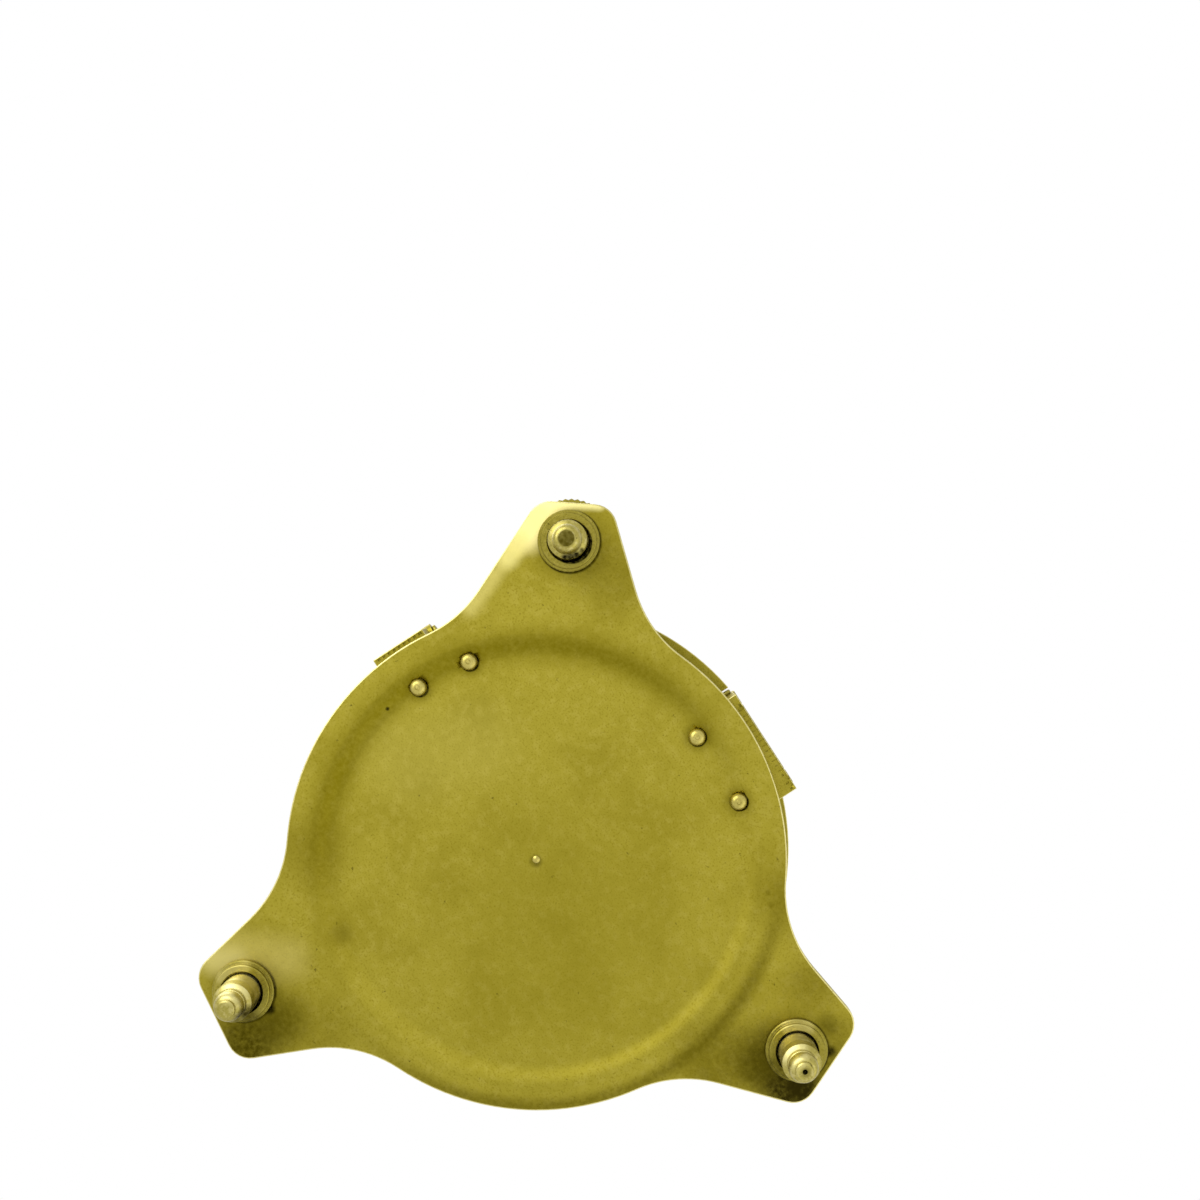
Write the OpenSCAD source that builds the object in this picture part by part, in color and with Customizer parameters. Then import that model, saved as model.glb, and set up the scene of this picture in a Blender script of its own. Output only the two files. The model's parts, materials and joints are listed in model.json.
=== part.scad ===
// Pocket sundial compass: a three-eared brass plate on levelling screws that carries
// a glazed compass, two spirit levels, a folding hour ring and a folding latitude arc.
// Z points up. The foot tips stand on Z = 0 and the needle turns about the Z axis.
// The hour ring is hinged on the +Y side and the latitude arc on the +X side.

/* [Base plate] */
// Radius of the round middle of the plate
disc_r = 38; // [36:0.5:42]
// Thickness of the plate
plate_t = 2.2; // [1.8:0.1:3]
// Height of the plate's underside above the foot tips
stand_h = 11; // [10:0.5:14]
// How far the flat end of each ear lies beyond the middle of its screw
ear_margin = 5.8; // [5:0.1:7]
// Half width of the flat end of an ear
ear_half_w = 7.5; // [7:0.1:8]
// Direction of the first ear, in degrees from +X
ear_angle = 37; // [34:1:40]
// Radius of the rounded corners of the ears
ear_corner_r = 3.6; // [2:0.1:3.8]
// Radius of the hollow sweep from an ear to the round middle
ear_fillet_r = 18.6; // [14:0.2:22]
// Width of the rim round the sunk middle of the underside
rim_w = 6.2; // [5:0.1:8]
// Depth of the sunk middle
recess_depth = 0.7; // [0.4:0.05:1]
// Width of the soft shoulder between the rim and the sunk middle
shoulder_w = 3; // [2:0.1:4]

/* [Levelling screws] */
// How far the screws stand beyond the round middle of the plate
screw_out = 10.6; // [10:0.1:12]
// How far the screws sit round from the middle of the ears, in degrees
screw_angle = 1.9; // [0:0.1:2]
// Radius of the screw shank
stud_r = 2.9; // [2.6:0.1:3.1]
// How far each screw can be run up or down from the middle
screw_travel = 3; // [2:0.1:4]
// Outer radius of the bush in the ear
bush_r = 4.7; // [4.4:0.1:5]
// Radius of the bush's lower face
bush_face_r = 4.2; // [4:0.1:4.3]
// Height of each step of the bush below the ear
bush_step_h = 0.8; // [0.5:0.1:1]
// Radius of the turned-down tip of the screw
tip_r = 2.2; // [1.9:0.1:2.4]
// Length of the turned-down tip
tip_len = 3.6; // [3:0.1:4.5]
// Radius of the nib that the foot stands on
nib_r = 1.35; // [1:0.05:1.6]
// Length of the nib
nib_len = 0.8; // [0.5:0.1:1.2]
// Radius of the knurled knob
knob_r = 6.9; // [6:0.1:7.5]
// Height of the knurled knob
knob_h = 5; // [4:0.1:6]

/* [Compass] */
// Width of the bare plate round the compass bowl
bowl_margin = 13.5; // [13:0.1:16]
// Height of the bowl
bowl_h = 5; // [4.8:0.1:6]
// Wall of the bowl
bowl_wall = 1.2; // [0.8:0.1:1.5]
// Floor of the bowl
bowl_floor = 1; // [0.8:0.1:1.2]
// Thickness of the dial plate
dial_t = 0.6; // [0.4:0.1:0.8]
// Thickness of the glass
glass_t = 1.2; // [1:0.1:1.4]
// Wall of the bezel ring
bezel_wall = 0.85; // [0.6:0.05:1]
// Height of the bezel's skirt round the bowl
bezel_skirt_h = 2.4; // [1.5:0.1:3]
// Thickness of the bezel's lip over the glass
bezel_lip_t = 0.8; // [0.6:0.1:1]
// Gap between each point of the needle and the ring that carries the glass
needle_gap = 3.4; // [2:0.1:6]
// Width of the needle at its middle
needle_w = 3.4; // [3:0.1:5]
// Thickness of the needle
needle_t = 0.35; // [0.25:0.05:0.5]

/* [Spirit levels] */
// Outer radius of a level's brass case
level_r = 2.7; // [2.4:0.1:2.7]
// Length of a level's case
level_len = 19; // [16:0.5:22]
// Outer radius of the glass vial
vial_r = 2.1; // [1.7:0.05:2.1]
// Wall of the glass vial
vial_wall = 0.4; // [0.3:0.05:0.6]

/* [Hour ring] */
// How far the ring reaches beyond the round middle of the plate
ring_overhang = 0.7; // [0.5:0.1:1.2]
// Width of the ring
ring_w = 6.4; // [5:0.1:7]
// Thickness of the ring
ring_t = 1.5; // [1.4:0.1:2]
// How far the ring's middle lies toward its hinge
ring_shift = 0.6; // [0.4:0.1:0.8]
// How far the ring's hinge axis lies in from the edge of the round middle
ring_axis_inset = 0.2; // [0.1:0.1:0.5]
// Radius of the ring's hinge barrel
ring_barrel_r = 1.6; // [1.4:0.05:1.8]
// Length of the ring's hinge barrel
ring_barrel_len = 17.1; // [16:0.1:20]
// Place of the middle of the barrel along X
ring_barrel_x = -4.15; // [-6:0.05:-3]
// Radius of the ring's hinge pin
ring_pin_r = 0.7; // [0.5:0.05:0.9]

/* [Gnomon] */
// Radius of the bar across the ring
bar_r = 0.9; // [0.7:0.05:1.1]
// Radius of the pointed rod
rod_r = 0.6; // [0.5:0.05:0.7]
// Length of the rod from the bar to its point
rod_len = 24; // [18:0.5:28]

/* [Latitude arc] */
// How far the outer face of the arc lies beyond the round middle of the plate
arc_overhang = 1.3; // [1.1:0.1:1.5]
// Thickness of the arc
arc_t = 1.25; // [1:0.05:1.4]
// Width of the arc
arc_w = 4.6; // [4:0.1:4.8]
// Width of the tab that carries the arc through the ring's slot
arc_tab_w = 2.7; // [2:0.1:3]
// Angle that the arc sweeps about the end of the ring's hinge axis
arc_sweep = 78; // [60:1:78]
// Radius of the arc's hinge barrel
arc_barrel_r = 1.5; // [1.4:0.05:1.6]
// Length of the arc's hinge barrel
arc_barrel_len = 9.5; // [9:0.1:10.5]
// Place of the middle of the barrel along Y
arc_barrel_y = 0.15; // [-0.5:0.05:0.5]
// Length of the arc's own knuckle, at the barrel's +Y end
arc_knuckle_len = 3.6; // [3.2:0.1:4]
// Radius of the arc's hinge pin
arc_pin_r = 0.6; // [0.5:0.05:0.8]

/* [Brackets and rivets] */
// Thickness of the bracket leaves on the plate
leaf_t = 1.2; // [1:0.1:1.5]
// How far the bracket leaves reach inward from the plate's edge
leaf_depth = 9.8; // [9.6:0.1:10.5]
// Radius of the rivet shanks
rivet_r = 0.85; // [0.6:0.05:1]
// Radius of the domed rivet heads
rivet_head_r = 1.3; // [1.1:0.05:1.5]
// Height of the domed rivet heads
rivet_head_h = 1.5; // [1.2:0.05:1.8]
// How far the ring bracket's rivets lie in from the plate's edge
ring_rivet_inset = 7.4; // [6.2:0.1:7.8]
// Distance between the two rivets of the ring bracket
ring_rivet_gap = 11.6; // [9:0.1:13]
// Slant of the ring bracket's rivet pair, in degrees
ring_rivet_slant = 0.2; // [0:0.1:4]
// How far the arc bracket's rivets lie in from the plate's edge
arc_rivet_inset = 6.8; // [6:0.1:7.2]
// Distance between the two rivets of the arc bracket
arc_rivet_gap = 8.6; // [7.5:0.1:9]
// Slant of the arc bracket's rivet pair, in degrees
arc_rivet_slant = 6; // [0:0.1:10]

/* [Hidden] */
$fn = 96;

// Colours of the materials
brass = "#a59a3c";
dull_brass = "#8d8433";
bright_brass = "#c9b867";
silvered = "#d9d6c8";
steel_blue = "#2f3d66";
clear_glass = "#cfe3e0";
spirit_green = "#c8dc6a";

// Overrun of cutting shapes, and clearances
over = 1;
fit_gap = 0.05;
swing_gap = 0.3;
screw_gap = 0.1;
knuckle_gap = 0.15;
knob_gap = 0.4;
edge_cut = 0.4;
full_angle = 360;
ear_step_angle = full_angle / 3;

// Heights
plate_z = stand_h;
top_z = plate_z + plate_t;
bowl_top_z = top_z + bowl_h;
bezel_top_z = bowl_top_z + bezel_lip_t;
level_foot_h = 0.2;
level_z = top_z + level_foot_h + level_r;
ring_gap = 0.65;
ring_z = max(bezel_top_z, level_z + level_r) + ring_gap;
ring_mid_z = ring_z + ring_t / 2;

// Ears: the flat end to each side of the ear's middle, as a share of the half width, and
// the flare of the flank in degrees. The clockwise side comes first.
screw_circle_r = disc_r + screw_out;
ear_end = screw_circle_r + ear_margin;
ear_side_shares = [[0.47, 1.03], [0.95, 1.1], [1.01, 0.98]];
ear_flare_angles = [[29.5, 20], [15.5, 19], [17, 18]];
corner_steps = 6;
fillet_steps = 12;
disc_steps = 24;

// Levelling screws
bush_undercut = 0.3;
bush_body_r = bush_face_r - bush_undercut;
bush_flange_h = 0.6;
bush_bottom_z = plate_z - 2 * bush_step_h;
bush_top_z = top_z + bush_flange_h;
knob_z = bush_top_z + screw_travel + knob_gap;
knob_top_z = knob_z + knob_h;
spigot_step = 0.6;
spigot_r = stud_r - spigot_step;
tip_dome_h = 1.4;
tip_step_h = 0.4;
spigot_dome_h = 0.5;
knob_rim_w = 2.1;
knob_dish_r = knob_r - knob_rim_w;
knob_dish_h = 0.5;
knob_cut = 0.6;
knob_bore_r = spigot_r + fit_gap;

// Compass
bowl_r = disc_r - bowl_margin;
bowl_in_r = bowl_r - bowl_wall;
seat_w = 0.9;
lip_short = 0.2;
lip_in_r = bowl_in_r - seat_w + lip_short;
needle_half = bowl_in_r - seat_w - needle_gap;
dial_z = top_z + bowl_floor;
dial_top_z = dial_z + dial_t;
glass_z = bowl_top_z - glass_t;
pivot_pin_r = 0.6;
pivot_neck_r = 0.4;
pivot_collar_r = 1.8;
pivot_collar_h = 0.35;
pivot_point_h = 0.9;
pivot_headroom = 0.6;
pivot_tip_z = glass_z - pivot_headroom;
pivot_end_h = 0.2;
cap_r = 1;
cap_flange_r = 1.6;
cap_flange_h = 0.25;
cap_top_h = 0.3;
cup_r = 0.7;
cup_depth = 0.9;
needle_hang = 0.65;
needle_z = pivot_tip_z - needle_hang;
cap_z = pivot_tip_z - cup_depth;

// Spirit levels
level_gap = 0.9;
level_out = bowl_r + fit_gap + bezel_wall + level_gap + level_r;
level_bore_r = vial_r + fit_gap;
plug_t = 1;
window_w = 3;
window_margin = 3.5;
window_len = level_len - 2 * window_margin;
level_pad_w = 4.2;

// Ring hinge: the middle third of the barrel belongs to the ring
ring_r = disc_r + ring_overhang;
ring_in_r = ring_r - ring_w;
ring_axis_y = disc_r - ring_axis_inset;
ring_barrel_x0 = ring_barrel_x - ring_barrel_len / 2;
ring_barrel_x1 = ring_barrel_x + ring_barrel_len / 2;
end_knuckle_len = 2.4;
pin_head_h = 0.6;
pin_head_extra = 0.4;
ring_cut_y = ring_axis_y - ring_barrel_r - swing_gap;
upstand_in = 1.5;
upstand_out = 1.3;

// Arc hinge, in the ring's middle plane. Folded, the arc lies in the ring's window, its
// middle on the ring's hinge axis, and its tab passes through a slot in the ring.
arc_x1 = disc_r + arc_overhang;
arc_axis_x = arc_x1 - arc_barrel_r;
arc_barrel_y0 = arc_barrel_y - arc_barrel_len / 2;
arc_barrel_y1 = arc_barrel_y + arc_barrel_len / 2;
arc_knuckle_y0 = arc_barrel_y1 - arc_knuckle_len;
arc_upstand_short = 0.55;
arc_upstand_step = 0.4;
arc_upstand_x = arc_x1 - arc_upstand_step;
arc_upstand_y = arc_barrel_y1 - arc_upstand_short;
arc_mid_r = ring_axis_y - arc_barrel_y1 + arc_tab_w / 2;
arc_out_r = arc_mid_r + arc_w / 2;
arc_in_r = arc_mid_r - arc_w / 2;
arc_z0 = ring_mid_z + arc_barrel_r - arc_t;
ring_flat_x = arc_axis_x - arc_barrel_r - swing_gap;
arc_end_gap = 1.1;
tab_in_x = ring_in_r - arc_end_gap;

// Gnomon
gnomon_boss_wall = 0.7;
gnomon_boss_r = bar_r + gnomon_boss_wall;
gnomon_boss_len = 4.4;
pivot_hole_depth = 2.1;
bar_pivot_r = bar_r / 2;
rod_point_h = 3;
rod_head_extra = 0.35;
rod_head_r = rod_r + rod_head_extra;
rod_head_h = 0.25;

// Rivets
rivet_sink_h = 0.6;
rivet_flare = 0.5;
rivet_sink_r = rivet_r + rivet_flare;
rivet_seat_z = plate_z + recess_depth;

function polar(r, a) = [r * cos(a), r * sin(a)];
function arc_points(c, r, a0, a1, n) =
    [for (i = [0 : n]) c + polar(r, a0 + (a1 - a0) * i / n)];
function reversed(list) = [for (i = [len(list) - 1 : -1 : 0]) list[i]];

// An ear in its own frame: the second coordinate runs outward. The fillet's middle
// lies where a circle of its radius touches both the flank and the round middle.
function flank_normal(flare) = polar(1, flare);
function flank_way(flare) = [sin(flare), -cos(flare)];
function fillet_base(w, flare) = [w, ear_end] + ear_fillet_r * flank_normal(flare);
function fillet_run(base, way) =
    -base * way - sqrt(pow(base * way, 2) - base * base + pow(disc_r + ear_fillet_r, 2));
function fillet_mid(w, flare) = fillet_base(w, flare)
    + fillet_run(fillet_base(w, flare), flank_way(flare)) * flank_way(flare);
function fillet_angle(w, flare) =
    let (c = fillet_mid(w, flare)) atan2(c[1], c[0]);
function corner_mid(w, flare) =
    [w - ear_corner_r * (1 - sin(flare)) / cos(flare), ear_end - ear_corner_r];
function flank(w, flare) = concat(
    arc_points(corner_mid(w, flare), ear_corner_r, 90, flare, corner_steps),
    arc_points(fillet_mid(w, flare), ear_fillet_r,
        flare + full_angle / 2, fillet_angle(w, flare) + full_angle / 2, fillet_steps));

function ear_way(i) = ear_angle + i * ear_step_angle;
function ear_side(i, side) = ear_half_w * ear_side_shares[i][side];
function from_ear(p, way) = p[0] * polar(1, way - 90) + p[1] * polar(1, way);
function ear_points(i) = concat(
    [for (p = reversed(flank(ear_side(i, 0), ear_flare_angles[i][0]))) from_ear(p, ear_way(i))],
    [for (p = flank(ear_side(i, 1), ear_flare_angles[i][1])) from_ear([-p[0], p[1]], ear_way(i))]);
function gap_points(i) = let (
    j = (i + 1) % 3,
    a0 = ear_way(i) + 90 - fillet_angle(ear_side(i, 1), ear_flare_angles[i][1]),
    a1 = ear_way(i) + ear_step_angle - 90 + fillet_angle(ear_side(j, 0), ear_flare_angles[j][0]))
    [for (k = [1 : disc_steps - 1]) polar(disc_r, a0 + (a1 - a0) * k / disc_steps)];
function plate_points() = [for (i = [0 : 2]) each concat(ear_points(i), gap_points(i))];

function screw_way(i) = ear_way(i) + screw_angle;
function screw_place(i) = polar(screw_circle_r, screw_way(i));

// Places of the rivets on the plate
ring_rivet_shift = 0.7;
ring_rivet_mid = [ring_barrel_x + ring_rivet_shift, disc_r - ring_rivet_inset];
ring_rivets = [for (s = [-1, 1])
    ring_rivet_mid + s * ring_rivet_gap / 2 * [cos(ring_rivet_slant), sin(ring_rivet_slant)]];
arc_rivet_shift = 3.4;
arc_rivet_mid = [disc_r - arc_rivet_inset, arc_barrel_y + arc_rivet_shift];
arc_rivets = [for (s = [-1, 1])
    arc_rivet_mid + s * arc_rivet_gap / 2 * [-sin(arc_rivet_slant), cos(arc_rivet_slant)]];

// Soft-shouldered recess profile, from the axis outward
shoulder_steps = 8;
function shoulder_rise(u) = (1 + cos(full_angle / 2 * u)) / 2;
recess_profile = concat(
    [[0, -over], [0, recess_depth]],
    [for (i = [0 : shoulder_steps]) [disc_r - rim_w - shoulder_w * (1 - i / shoulder_steps),
        recess_depth * shoulder_rise(i / shoulder_steps)]],
    [[disc_r - rim_w, -over]]);

module at_screw(i) {
    translate(screw_place(i)) rotate(screw_way(i)) children();
}

// A slab with rounded corners between two opposite corners
module rounded_slab(p0, p1, r, h) {
    linear_extrude(h) union() {
        translate([p0[0] + r, p0[1]]) square([p1[0] - p0[0] - 2 * r, p1[1] - p0[1]]);
        translate([p0[0], p0[1] + r]) square([p1[0] - p0[0], p1[1] - p0[1] - 2 * r]);
        for (x = [p0[0] + r, p1[0] - r])
            for (y = [p0[1] + r, p1[1] - r])
                translate([x, y]) circle(r);
    }
}

// A cylinder along X or along Y
module rod_x(r, x0, x1) {
    translate([x0, 0, 0]) rotate([0, 90, 0]) cylinder(h = x1 - x0, r = r);
}
module rod_y(r, y0, y1) {
    translate([0, y0, 0]) rotate([-90, 0, 0]) cylinder(h = y1 - y0, r = r);
}

module base_plate() {
    color(brass) difference() {
        translate([0, 0, plate_z]) linear_extrude(plate_t) polygon(plate_points());
        translate([0, 0, plate_z]) rotate_extrude() polygon(recess_profile);
        translate([0, 0, plate_z - over]) cylinder(h = plate_t + 2 * over, r = pivot_pin_r);
        for (i = [0 : 2])
            at_screw(i) translate([0, 0, plate_z - over])
                cylinder(h = plate_t + 2 * over, r = bush_body_r);
        for (p = concat(ring_rivets, arc_rivets)) {
            translate([p[0], p[1], plate_z - over])
                cylinder(h = plate_t + 2 * over, r = rivet_r);
            translate([p[0], p[1], plate_z - over])
                cylinder(h = recess_depth + over, r = rivet_head_r + fit_gap);
        }
    }
}

// Shouldered bush, peened over on top of the ear
module levelling_bush(i) {
    color(dull_brass) at_screw(i) rotate_extrude() polygon([
        [stud_r + screw_gap, bush_bottom_z],
        [bush_face_r - edge_cut / 2, bush_bottom_z],
        [bush_face_r, bush_bottom_z + edge_cut / 2],
        [bush_face_r, plate_z - bush_step_h],
        [bush_r - edge_cut / 2, plate_z - bush_step_h],
        [bush_r, plate_z - bush_step_h + edge_cut / 2],
        [bush_r, plate_z],
        [bush_body_r, plate_z],
        [bush_body_r, top_z],
        [bush_r, top_z],
        [bush_r, bush_top_z - edge_cut / 2],
        [bush_r - edge_cut / 2, bush_top_z],
        [stud_r + screw_gap, bush_top_z]]);
}

// Shank with a turned-down tip, a domed shoulder and a flat nib to stand on
module levelling_stud(i) {
    dome = [for (k = [0 : 5]) [
        nib_r + (tip_r - nib_r) * sin(90 * k / 5),
        nib_len + tip_dome_h * (1 - cos(90 * k / 5))]];
    color(dull_brass) at_screw(i) rotate_extrude() polygon(concat(
        [[0, 0], [nib_r, 0]],
        dome,
        [[tip_r, tip_len], [stud_r, tip_len + tip_step_h], [stud_r, knob_z],
         [spigot_r, knob_z], [spigot_r, knob_top_z - knob_dish_h],
         [spigot_r / 2, knob_top_z - knob_dish_h + spigot_dome_h],
         [0, knob_top_z - knob_dish_h + spigot_dome_h]]));
}

// Knob with chamfered edges and a dished top
module knurled_knob(i) {
    color(brass) at_screw(i) rotate_extrude() polygon([
        [knob_bore_r, knob_z],
        [knob_r - knob_cut, knob_z],
        [knob_r, knob_z + knob_cut],
        [knob_r, knob_top_z - knob_cut],
        [knob_r - knob_cut, knob_top_z],
        [knob_dish_r, knob_top_z],
        [knob_dish_r - knob_dish_h, knob_top_z - knob_dish_h],
        [knob_bore_r, knob_top_z - knob_dish_h]]);
}

module compass_bowl() {
    color(brass) translate([0, 0, top_z]) difference() {
        cylinder(h = bowl_h, r = bowl_r);
        translate([0, 0, bowl_floor]) cylinder(h = bowl_h, r = bowl_in_r);
        translate([0, 0, -over]) cylinder(h = bowl_h, r = pivot_pin_r);
    }
}

// Pin riveted through the plate, with a collar that holds the dial and a hard point
module pivot_post() {
    color(bright_brass) rotate_extrude() polygon([
        [0, rivet_seat_z - pivot_end_h],
        [pivot_pin_r / 2, rivet_seat_z - pivot_end_h],
        [pivot_pin_r, rivet_seat_z],
        [pivot_pin_r, dial_top_z],
        [pivot_collar_r, dial_top_z],
        [pivot_collar_r, dial_top_z + pivot_collar_h],
        [pivot_neck_r, dial_top_z + pivot_collar_h],
        [pivot_neck_r, pivot_tip_z - pivot_point_h],
        [0, pivot_tip_z]]);
}

module dial_plate() {
    color(silvered) translate([0, 0, dial_z]) difference() {
        cylinder(h = dial_t, r = bowl_in_r - fit_gap);
        translate([0, 0, -over]) cylinder(h = dial_t + 2 * over, r = pivot_pin_r);
    }
}

// Spacer that stands on the dial and carries the glass
module glass_seat_ring() {
    color(bright_brass) translate([0, 0, dial_top_z]) difference() {
        cylinder(h = glass_z - dial_top_z, r = bowl_in_r - fit_gap);
        translate([0, 0, -over]) cylinder(h = bowl_h, r = bowl_in_r - seat_w);
    }
}

module compass_glass() {
    color(clear_glass, 0.4) translate([0, 0, glass_z])
        cylinder(h = glass_t, r = bowl_in_r - fit_gap);
}

// Pressed ring: a skirt round the bowl and a lip over the rim and the glass
module bezel_ring() {
    skirt_r = bowl_r + fit_gap;
    color(brass) rotate_extrude() polygon([
        [skirt_r, bowl_top_z - bezel_skirt_h],
        [skirt_r + bezel_wall, bowl_top_z - bezel_skirt_h],
        [skirt_r + bezel_wall, bezel_top_z - edge_cut],
        [skirt_r + bezel_wall - edge_cut, bezel_top_z],
        [lip_in_r + edge_cut, bezel_top_z],
        [lip_in_r, bowl_top_z + bezel_lip_t / 2],
        [lip_in_r, bowl_top_z],
        [skirt_r, bowl_top_z]]);
}

module needle() {
    color(steel_blue) translate([0, 0, needle_z]) difference() {
        linear_extrude(needle_t) polygon([
            [0, needle_half], [-needle_w / 2, 0], [0, -needle_half], [needle_w / 2, 0]]);
        translate([0, 0, -over]) cylinder(h = needle_t + 2 * over, r = cap_r);
    }
}

// Cap with a conical cup that rides on the point of the pivot
module needle_cap() {
    cap_top_z = needle_z + needle_t + cap_flange_h + cap_top_h;
    color(bright_brass) rotate_extrude() polygon([
        [cup_r, cap_z],
        [cap_r, cap_z],
        [cap_r, needle_z + needle_t],
        [cap_flange_r, needle_z + needle_t],
        [cap_flange_r, needle_z + needle_t + cap_flange_h],
        [cap_r / 2, cap_top_z],
        [0, cap_top_z],
        [0, pivot_tip_z + fit_gap]]);
}

// A level lies along X at the origin of its own frame, with its axis at level_z
module level_place(along_y) {
    way = along_y ? 90 : 0;
    rotate(-way) translate([0, -level_out, 0]) children();
}

module level_case(along_y) {
    color(brass) level_place(along_y) difference() {
        union() {
            translate([0, 0, level_z]) rod_x(level_r, -level_len / 2, level_len / 2);
            translate([-level_len / 2, -level_pad_w / 2, top_z])
                cube([level_len, level_pad_w, level_foot_h + level_r - level_bore_r / 2]);
        }
        translate([0, 0, level_z])
            rod_x(level_bore_r, -level_len / 2 - over, level_len / 2 + over);
        translate([0, 0, level_z]) rounded_slab([-window_len / 2, -window_w / 2],
            [window_len / 2, window_w / 2], window_w / 2 - fit_gap, level_r + over);
    }
}

module level_plugs(along_y) {
    color(dull_brass) level_place(along_y) translate([0, 0, level_z]) {
        rod_x(level_bore_r, -level_len / 2, -level_len / 2 + plug_t);
        rod_x(level_bore_r, level_len / 2 - plug_t, level_len / 2);
    }
}

module level_vial(along_y) {
    half = level_len / 2 - plug_t;
    color(clear_glass, 0.4) level_place(along_y) translate([0, 0, level_z]) difference() {
        rod_x(vial_r, -half, half);
        rod_x(vial_r - vial_wall, -half - over, half + over);
    }
}

module level_spirit(along_y) {
    half = level_len / 2 - plug_t;
    color(spirit_green, 0.6) level_place(along_y) translate([0, 0, level_z])
        rod_x(vial_r - vial_wall, -half, half);
}

// Counterbored rivet hole through a bracket leaf
module leaf_holes(places) {
    for (p = places) {
        translate([p[0], p[1], top_z - over]) cylinder(h = leaf_t + 2 * over, r = rivet_r);
        translate([p[0], p[1], top_z + leaf_t - rivet_sink_h])
            cylinder(h = rivet_sink_h, r1 = rivet_r, r2 = rivet_sink_r);
    }
}

// Domed head under the plate, shank, and an end peened into the leaf
module rivets(places) {
    dome = [for (k = [0 : 6]) [rivet_head_r * sin(90 * k / 6),
        rivet_seat_z - recess_depth - (rivet_head_h - recess_depth) * cos(90 * k / 6)]];
    color(bright_brass) for (p = places)
        translate([p[0], p[1], 0]) rotate_extrude() polygon(concat(
            dome,
            [[rivet_head_r, rivet_seat_z], [rivet_r, rivet_seat_z],
             [rivet_r, top_z + leaf_t - rivet_sink_h], [rivet_sink_r, top_z + leaf_t],
             [0, top_z + leaf_t]]));
}

// Leaf under the folded ring, with an upstand that carries the two end knuckles
module ring_bracket() {
    x0 = ring_barrel_x0;
    x1 = ring_barrel_x1;
    y0 = ring_axis_y - upstand_in;
    y1 = ring_axis_y + upstand_out;
    low_h = ring_mid_z - ring_barrel_r - swing_gap - top_z;
    color(brass) difference() {
        union() {
            translate([0, 0, top_z]) rounded_slab([x0, disc_r - leaf_depth], [x1, y1],
                edge_cut, leaf_t);
            translate([x0, y0, top_z]) cube([x1 - x0, y1 - y0, low_h]);
            for (x = [x0, x1 - end_knuckle_len]) {
                translate([x, y0, top_z])
                    cube([end_knuckle_len, y1 - y0, ring_mid_z - top_z]);
                translate([0, ring_axis_y, ring_mid_z])
                    rod_x(ring_barrel_r, x, x + end_knuckle_len);
            }
        }
        leaf_holes(ring_rivets);
        translate([0, ring_axis_y, ring_mid_z]) rod_x(ring_pin_r, x0 - over, x1 + over);
    }
}

module ring_hinge_pin() {
    color(dull_brass) translate([0, ring_axis_y, ring_mid_z]) {
        rod_x(ring_pin_r, ring_barrel_x0 - pin_head_h / 2, ring_barrel_x1 + pin_head_h / 2);
        rod_x(ring_pin_r + pin_head_extra, ring_barrel_x0 - pin_head_h, ring_barrel_x0);
        rod_x(ring_pin_r + pin_head_extra, ring_barrel_x1, ring_barrel_x1 + pin_head_h);
    }
}

// Flat ring with a straight side for the arc to stand beside, a slot for the arc's tab,
// and a notch and a knuckle for its own hinge
module hour_ring() {
    knuckle_x0 = ring_barrel_x0 + end_knuckle_len + knuckle_gap;
    knuckle_x1 = ring_barrel_x1 - end_knuckle_len - knuckle_gap;
    side_gap = pin_head_h + swing_gap;
    color(brass) difference() {
        union() {
            difference() {
                translate([0, ring_shift, ring_z]) cylinder(h = ring_t, r = ring_r);
                translate([ring_barrel_x0 - side_gap, ring_cut_y, ring_z - over])
                    cube([ring_barrel_len + 2 * side_gap, ring_r, ring_t + 2 * over]);
            }
            translate([knuckle_x0, ring_cut_y - over, ring_z])
                cube([knuckle_x1 - knuckle_x0, ring_axis_y - ring_cut_y + over, ring_t]);
            translate([0, ring_axis_y, ring_mid_z])
                rod_x(ring_barrel_r, knuckle_x0, knuckle_x1);
        }
        translate([0, ring_shift, ring_z - over]) cylinder(h = ring_t + 2 * over, r = ring_in_r);
        translate([ring_flat_x, -ring_r, ring_z - over])
            cube([ring_r, 2 * ring_r, ring_t + 2 * over]);
        translate([0, arc_barrel_y1 - arc_tab_w - swing_gap, ring_z - over])
            cube([ring_r, arc_tab_w + 2 * swing_gap, ring_t + 2 * over]);
        translate([0, ring_axis_y, ring_mid_z])
            rod_x(ring_pin_r + fit_gap, knuckle_x0 - over, knuckle_x1 + over);
        translate([0, ring_shift, ring_mid_z]) rod_x(bar_pivot_r + fit_gap,
            -ring_in_r - pivot_hole_depth, ring_in_r + pivot_hole_depth);
    }
}

// Bar across the ring, pivoted in its inner edge, with a boss for the rod
module gnomon_bar() {
    bar_half = ring_in_r - swing_gap;
    pivot_half = ring_in_r + pivot_hole_depth - swing_gap;
    color(bright_brass) translate([0, ring_shift, ring_mid_z]) difference() {
        union() {
            rod_x(bar_r, -bar_half, bar_half);
            rod_x(bar_pivot_r, -pivot_half, pivot_half);
            rod_x(gnomon_boss_r, -gnomon_boss_len / 2, gnomon_boss_len / 2);
        }
        rod_y(rod_r, -gnomon_boss_r - over, gnomon_boss_r + over);
    }
}

module gnomon_rod() {
    tail = gnomon_boss_r + rod_head_h;
    color(bright_brass) translate([0, ring_shift, ring_mid_z]) rotate([90, 0, 0])
        rotate_extrude() polygon([
            [0, -tail], [rod_head_r, -tail], [rod_head_r, -gnomon_boss_r],
            [rod_r, -gnomon_boss_r], [rod_r, rod_len - rod_point_h], [0, rod_len]]);
}

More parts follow.
